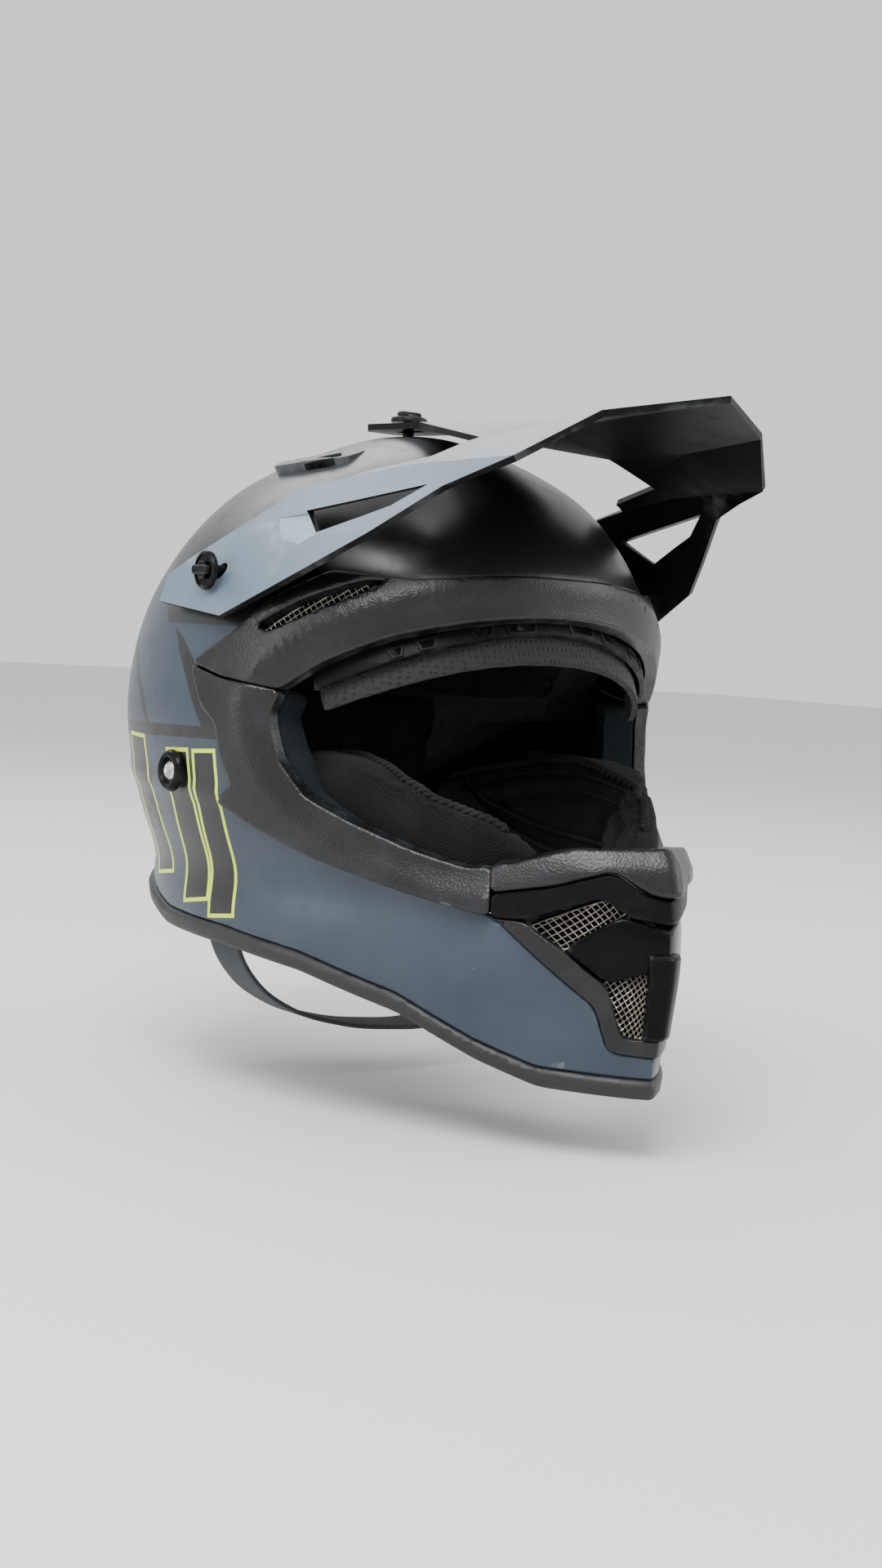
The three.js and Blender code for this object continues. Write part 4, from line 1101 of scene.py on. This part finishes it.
TOP_EDGE = [(36, 1), (12, 7.5), (-20, 13.5), (-45, 17.5), (-68, 20.5), (-88, 17.5), (-108, 11.5), (-128, 4),
            (-144, -3)]
CRESCENT = [(-24, -3), (-46, 4), (-70, 7), (-96, 5), (-124, -4)]
UPPER_SEAM = [(-4, 5), (-38, 12), (-68, 15), (-94, 12), (-122, 4)]
RIDGES = [[(8, 4), (-8, -3), (-34, -9), (-62, -13), (-100, -16)],
          [(2, -1), (-12, -9), (-38, -17), (-64, -22), (-98, -26)]]
PRESSED = [(CRESCENT, 3.4, 3.2), (UPPER_SEAM, 3, 2.4), (RIDGES[0], 2.6, 1.4), (TOP_EDGE, 2.6, 1.4)]
for side, name in ((-1, "right"), (1, "left")):
    pad = cushions[f"cheek_cushion_{name}"][0]
    look = lambda path, lift=0.0: on_cushion(pad, path, 0, (side, 0, 0), lift=lift)
    for path, width, depth in PRESSED:
        pressed(pad, look(path), width, depth)
    threads = [s for path in (CRESCENT, UPPER_SEAM) for s in stitches(look(path, 0.35))]
    strands(f"cheek_stitches_{name}", threads, 0.34, THREAD)
    strands(f"cheek_piping_{name}", twisted(look(TOP_EDGE, 1.5), 0.95), 1.2, PIPING)
    ridges = [path for line in RIDGES for path in twisted(look(line, 0.5), 0.45, lay=4)]
    strands(f"cheek_ridges_{name}", ridges, 0.75, PIPING)

for name, (pad, _) in cushions.items():
    node, material, _ = CUSHIONS[name]
    dressed(pad, material, stands_for=node, sharp=75)

# %% [markdown]
# ## Lining behind the trims
# Between the trims and the cheek pads the foam is covered by a brushed lining. It is one more piece of the
# skin, but further in, and it leans inwards so that it can be seen through the opening.

# %% Lining, foam, and the air port over the brow
def leaning(turn, height, depth):
    return np.where(depth > -16, -7 * np.clip((from_opening(turn, height) - 3) / 8, 0, 1) ** 0.8, 0)


band = [(-60, 50), (-71.5, 46), (-67.5, 36), (-71.5, 18), (-82.5, 2.5), (-99, -5.5), (-123, -14.5),
        (-146, -19.5), (-147, -29), (-118, -25), (-92, -16), (-70, -4), (-58, 14), (-54, 36)]
for side, name in ((RIGHT, "right"), (LEFT, "left")):
    fitted(f"port_lining_{name}", band, (-8.6, -24), LINING, radius=1.5, step=3.2, sides=side, relief=leaning,
           sharp=60)

# The air port over the brow is a rail with framed slots that let air in over the forehead.
# It follows the arch of the opening's top edge, and a band of open spacer mesh lies below it.
def along_arch(turns, below):
    """Pattern points that run along the opening's top edge, this far below it."""
    return [(turn, row_of(85 - 63 * (1 - math.cos(turn / 100)) - below)) for turn in turns]


ARCH = (0, 15, 30, 45, 60, 75, 90, 104)
def sunk(turn, height, depth):
    return np.where(depth > -14, -1.5, 0)


rail = along_arch(ARCH, -6) + along_arch(ARCH[::-1], 4.5)
fitted("brow_rail", rail, (-9.6, -12.2), SATIN, radius=0.5, flat=True, stands_for="brow_air_port")
mesh_band = along_arch(ARCH, 1) + along_arch(ARCH[::-1], 12.5)
fitted("brow_mesh_band", mesh_band, (-12.8, -17.5), SPACER, radius=2, flat=True, relief=sunk,
       sharp=60)
for index, (start, end) in enumerate(((8, 24), (28, 39), (52, 62), (66, 74))):
    frame_ring = along_arch((start, end), -1) + along_arch((end - 1.5, start + 1.5), 4)
    slit = along_arch((start + 2, end - 2), 0.2) + along_arch((end - 2.8, start + 2.8), 2.9)
    fitted(f"brow_slot_{index}", frame_ring, (-8.9, -9.9), SATIN, radius=0.3, flat=True, holes=[slit])
    # Each slit is filled by a near-black plate: painted shade for the opening.
    fitted(f"brow_slot_shade_{index}", slit, (-9.3, -9.7), INSIDE_AND_SHADE_BLACK, radius=0.1, flat=True)

for node, material in (("impact_liner", FOAM), ("chin_foam", FOAM)):
    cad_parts[node].data.materials.clear()
    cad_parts[node].data.materials.append(material)

# %% [markdown]
# ## Chin strap
# A webbing strap hangs from a rivet on each side and closes with two D-rings under the left jaw. A ribbon
# of flat curve follows its path, with its own measure along it for the weave.

# %% Strap, rings and rivets
STRAP_Y, STRAP_WIDTH, THICK = -8, 24, 1.8
ring_down = Vector((-22, -20)).normalized()
ring_out = Vector((-ring_down.y, ring_down.x))
top_bars = Vector((78, -72)) + ring_out * 1.7
low_bars = top_bars + ring_down * 30


def loop(centre, towards):
    return [tuple(centre + ring_down * along * towards + ring_out * out) for along, out in
            ((-8, -5), (0, -5.4), (3.6, -4.4), (5.2, 0), (3.6, 4.4), (0, 5.4), (-8, 5))]


SHORT = [(93, 20), (92, -10), (88, -45), (85, -57)] + loop(top_bars, 1) + [(88.5, -61)]
LONG = [(-93, 20), (-92, -10), (-88, -45), (-85, -64), (-75, -82), (-56, -96), (-28, -105), (0, -108.5),
        (28, -108.5)] + loop(low_bars, -1)[::-1] + [(33, -101)]


def webbing(name, path, stands_for):
    curve = bpy.data.curves.new(name, "CURVE")
    curve.dimensions, curve.extrude, curve.resolution_u = "2D", STRAP_WIDTH / 2, 10
    spline = curve.splines.new("BEZIER")
    spline.bezier_points.add(len(path) - 1)
    for knot, (x, z) in zip(spline.bezier_points, path):
        knot.co, knot.handle_left_type, knot.handle_right_type = (x, z, 0), "AUTO", "AUTO"
    raw = bpy.data.objects.new(name, curve)
    bpy.context.scene.collection.objects.link(raw)
    bpy.context.view_layer.update()
    mesh = bpy.data.meshes.new_from_object(raw.evaluated_get(bpy.context.evaluated_depsgraph_get()))
    bpy.data.objects.remove(raw)
    bm = bmesh.new()
    bm.from_mesh(mesh)
    bmesh.ops.remove_doubles(bm, verts=bm.verts, dist=0.001)
    upright = Matrix(((1, 0, 0, 0), (0, 0, -1, STRAP_Y), (0, 1, 0, 0), (0, 0, 0, 1)))
    bmesh.ops.transform(bm, matrix=upright, verts=bm.verts)
    bmesh.ops.recalc_face_normals(bm, faces=bm.faces)
    across = [e for e in bm.edges if abs(e.verts[0].co.y - e.verts[1].co.y) > 20]
    bmesh.ops.subdivide_edges(bm, edges=across, cuts=5)
    strap = finish_piece(bm, name, WEBBING, body="strap", stands_for=stands_for, sharp=60)
    track = np.array([v.co for v in strap.data.vertices])[:, [0, 2]] / MM
    fine = np.array([tuple(p) for p in eased(path, 4, closed=False)])
    walked = np.concatenate([[0], np.cumsum(np.linalg.norm(np.diff(fine, axis=0), axis=1))])
    nearest = np.argmin(np.linalg.norm(track[:, None] - fine[None], axis=2), axis=1)
    along = strap.data.attributes.new("along", "FLOAT", "POINT")
    along.data.foreach_set("value", walked[nearest].astype(np.float32))
    wall = strap.modifiers.new("thickness", "SOLIDIFY")
    wall.thickness, wall.offset = THICK * MM, 0
    edge = strap.modifiers.new("woven edge", "BEVEL")
    edge.width, edge.segments, edge.limit_method = 0.6 * MM, 2, "ANGLE"
    return strap


webbing("short_strap", SHORT, "strap_short")
webbing("long_strap", LONG, "strap_long")


def d_ring(name, shift, stands_for):
    half, radius = STRAP_WIDTH / 2 + 2.7, 4.5
    corners = [(-half, 0), (half, 0), (half, 30), (-half, 30)]
    ring = []
    for across, down in [tuple(p) for p in eased(corners, radius)][::2]:
        spot = Vector((78, -72)) + ring_down * down - ring_out * shift
        ring.append(Vector((spot.x, STRAP_Y + across, spot.y)) * MM)
    ring = strands(name, [ring], 1.5, STEEL, body="strap", closed=True)
    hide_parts(stands_for)


d_ring("upper_d_ring", 0, "d_ring_inner")
d_ring("lower_d_ring", 3.4, "d_ring_outer")
RIVET = [(0, -26), (6.2, -26), (6.5, -25.6), (6.5, -25), (6.2, -24.6), (2.9, -24.6), (2.9, -0.2), (4.6, 0.2),
         (4.8, 0.8), (4.3, 2), (3, 2.8), (1.4, 2.2), (0, 2.0)]
WASHER = [(5.5, 0.3), (9, 0.3), (9.2, 0.8), (9, 1.8), (8.2, 3), (7.2, 3.5), (6.2, 3.3), (5.6, 2.6),
          (5.5, 0.3)]
RIVET_X, RIVET_Z = 115, 8
for side, name in ((-1, "right"), (1, "left")):
    rivet = turned(RIVET)
    aimed(rivet, (side * RIVET_X, STRAP_Y, RIVET_Z), (side, 0, 0))
    weighted(finish_piece(rivet, f"rivet_{name}", STEEL, stands_for=f"strap_rivet_{name}"))
    washer = turned(WASHER)
    aimed(washer, (side * RIVET_X, STRAP_Y, RIVET_Z), (side, 0, 0))
    weighted(finish_piece(washer, f"rivet_washer_{name}", GLOSS, stands_for=f"rivet_ring_{name}"))
print("strap, rings and rivets done")

# %% [markdown]
# ## Room, lights and camera
# The helmet hangs at head height over a pale floor, under soft studio light: a big softbox above and to the
# side, a weaker one on the other side to fill the shadows, and a strip behind for the edges.

# %% Floor and lights
LOWEST = -0.112


def plain(name, colour, roughness):
    finish = Finish(name, colour, roughness)
    finish.set(Base_Color=finish.mix(finish.noise(400), colour, tuple(c * 0.96 for c in colour)))
    return finish.material


bpy.ops.mesh.primitive_plane_add(size=14, location=(0, 0, LOWEST - 0.02))
floor = bpy.context.object
floor.name = "floor"
floor.data.materials.append(plain("pale_floor", (0.72, 0.72, 0.72), 0.9))


def softbox(name, place, size, power, colour=(1, 1, 1)):
    light = bpy.data.lights.new(name, "AREA")
    light.shape, light.size, light.size_y = "RECTANGLE", *size
    light.energy, light.color = power, colour
    lamp = bpy.data.objects.new(name, light)
    bpy.context.scene.collection.objects.link(lamp)
    lamp.location = place
    lamp.rotation_euler = (Vector((0, -0.02, 0.04)) - Vector(place)).to_track_quat("-Z", "Y").to_euler()
    return lamp


softbox("key", (-0.9, -0.8, 1.5), (1.0, 1.0), 46)
softbox("fill", (1.5, -1.2, 0.7), (1.4, 1.4), 18)
softbox("back_strip", (0.3, 1.3, 1.3), (1.6, 0.5), 13)
softbox("side_strip", (-1.6, 0.3, 0.5), (0.5, 1.4), 10)
world = bpy.data.worlds.new("room")
bpy.context.scene.world = world
world.use_nodes = True
world.node_tree.nodes["Background"].inputs["Color"].default_value = (0.93, 0.94, 0.95, 1)
world.node_tree.nodes["Background"].inputs["Strength"].default_value = 1.12

# %% Camera
AZIMUTH, ELEVATION, ROLL = (math.radians(angle) for angle in (-36.2, 1.9, 3.5))
TARGET = Vector((0, -0.020, 0.040))
back = Vector((math.sin(AZIMUTH) * math.cos(ELEVATION), -math.cos(AZIMUTH) * math.cos(ELEVATION),
               math.sin(ELEVATION)))
right = Vector((math.cos(AZIMUTH), math.sin(AZIMUTH), 0))
up = back.cross(right)
side_axis = right * math.cos(ROLL) + up * math.sin(ROLL)
up_axis = up * math.cos(ROLL) - right * math.sin(ROLL)
lens = bpy.data.cameras.new("camera")
lens.lens, lens.sensor_width = 50.04, 36
lens.shift_x, lens.shift_y = 0.0208, -0.0495
lens.clip_start = 0.05
camera = bpy.data.objects.new("camera", lens)
bpy.context.scene.collection.objects.link(camera)
camera.matrix_world = Matrix((side_axis, up_axis, back)).transposed().to_4x4()
camera.location = TARGET + back
bpy.context.scene.camera = camera
print("camera at", [round(c, 3) for c in camera.location])
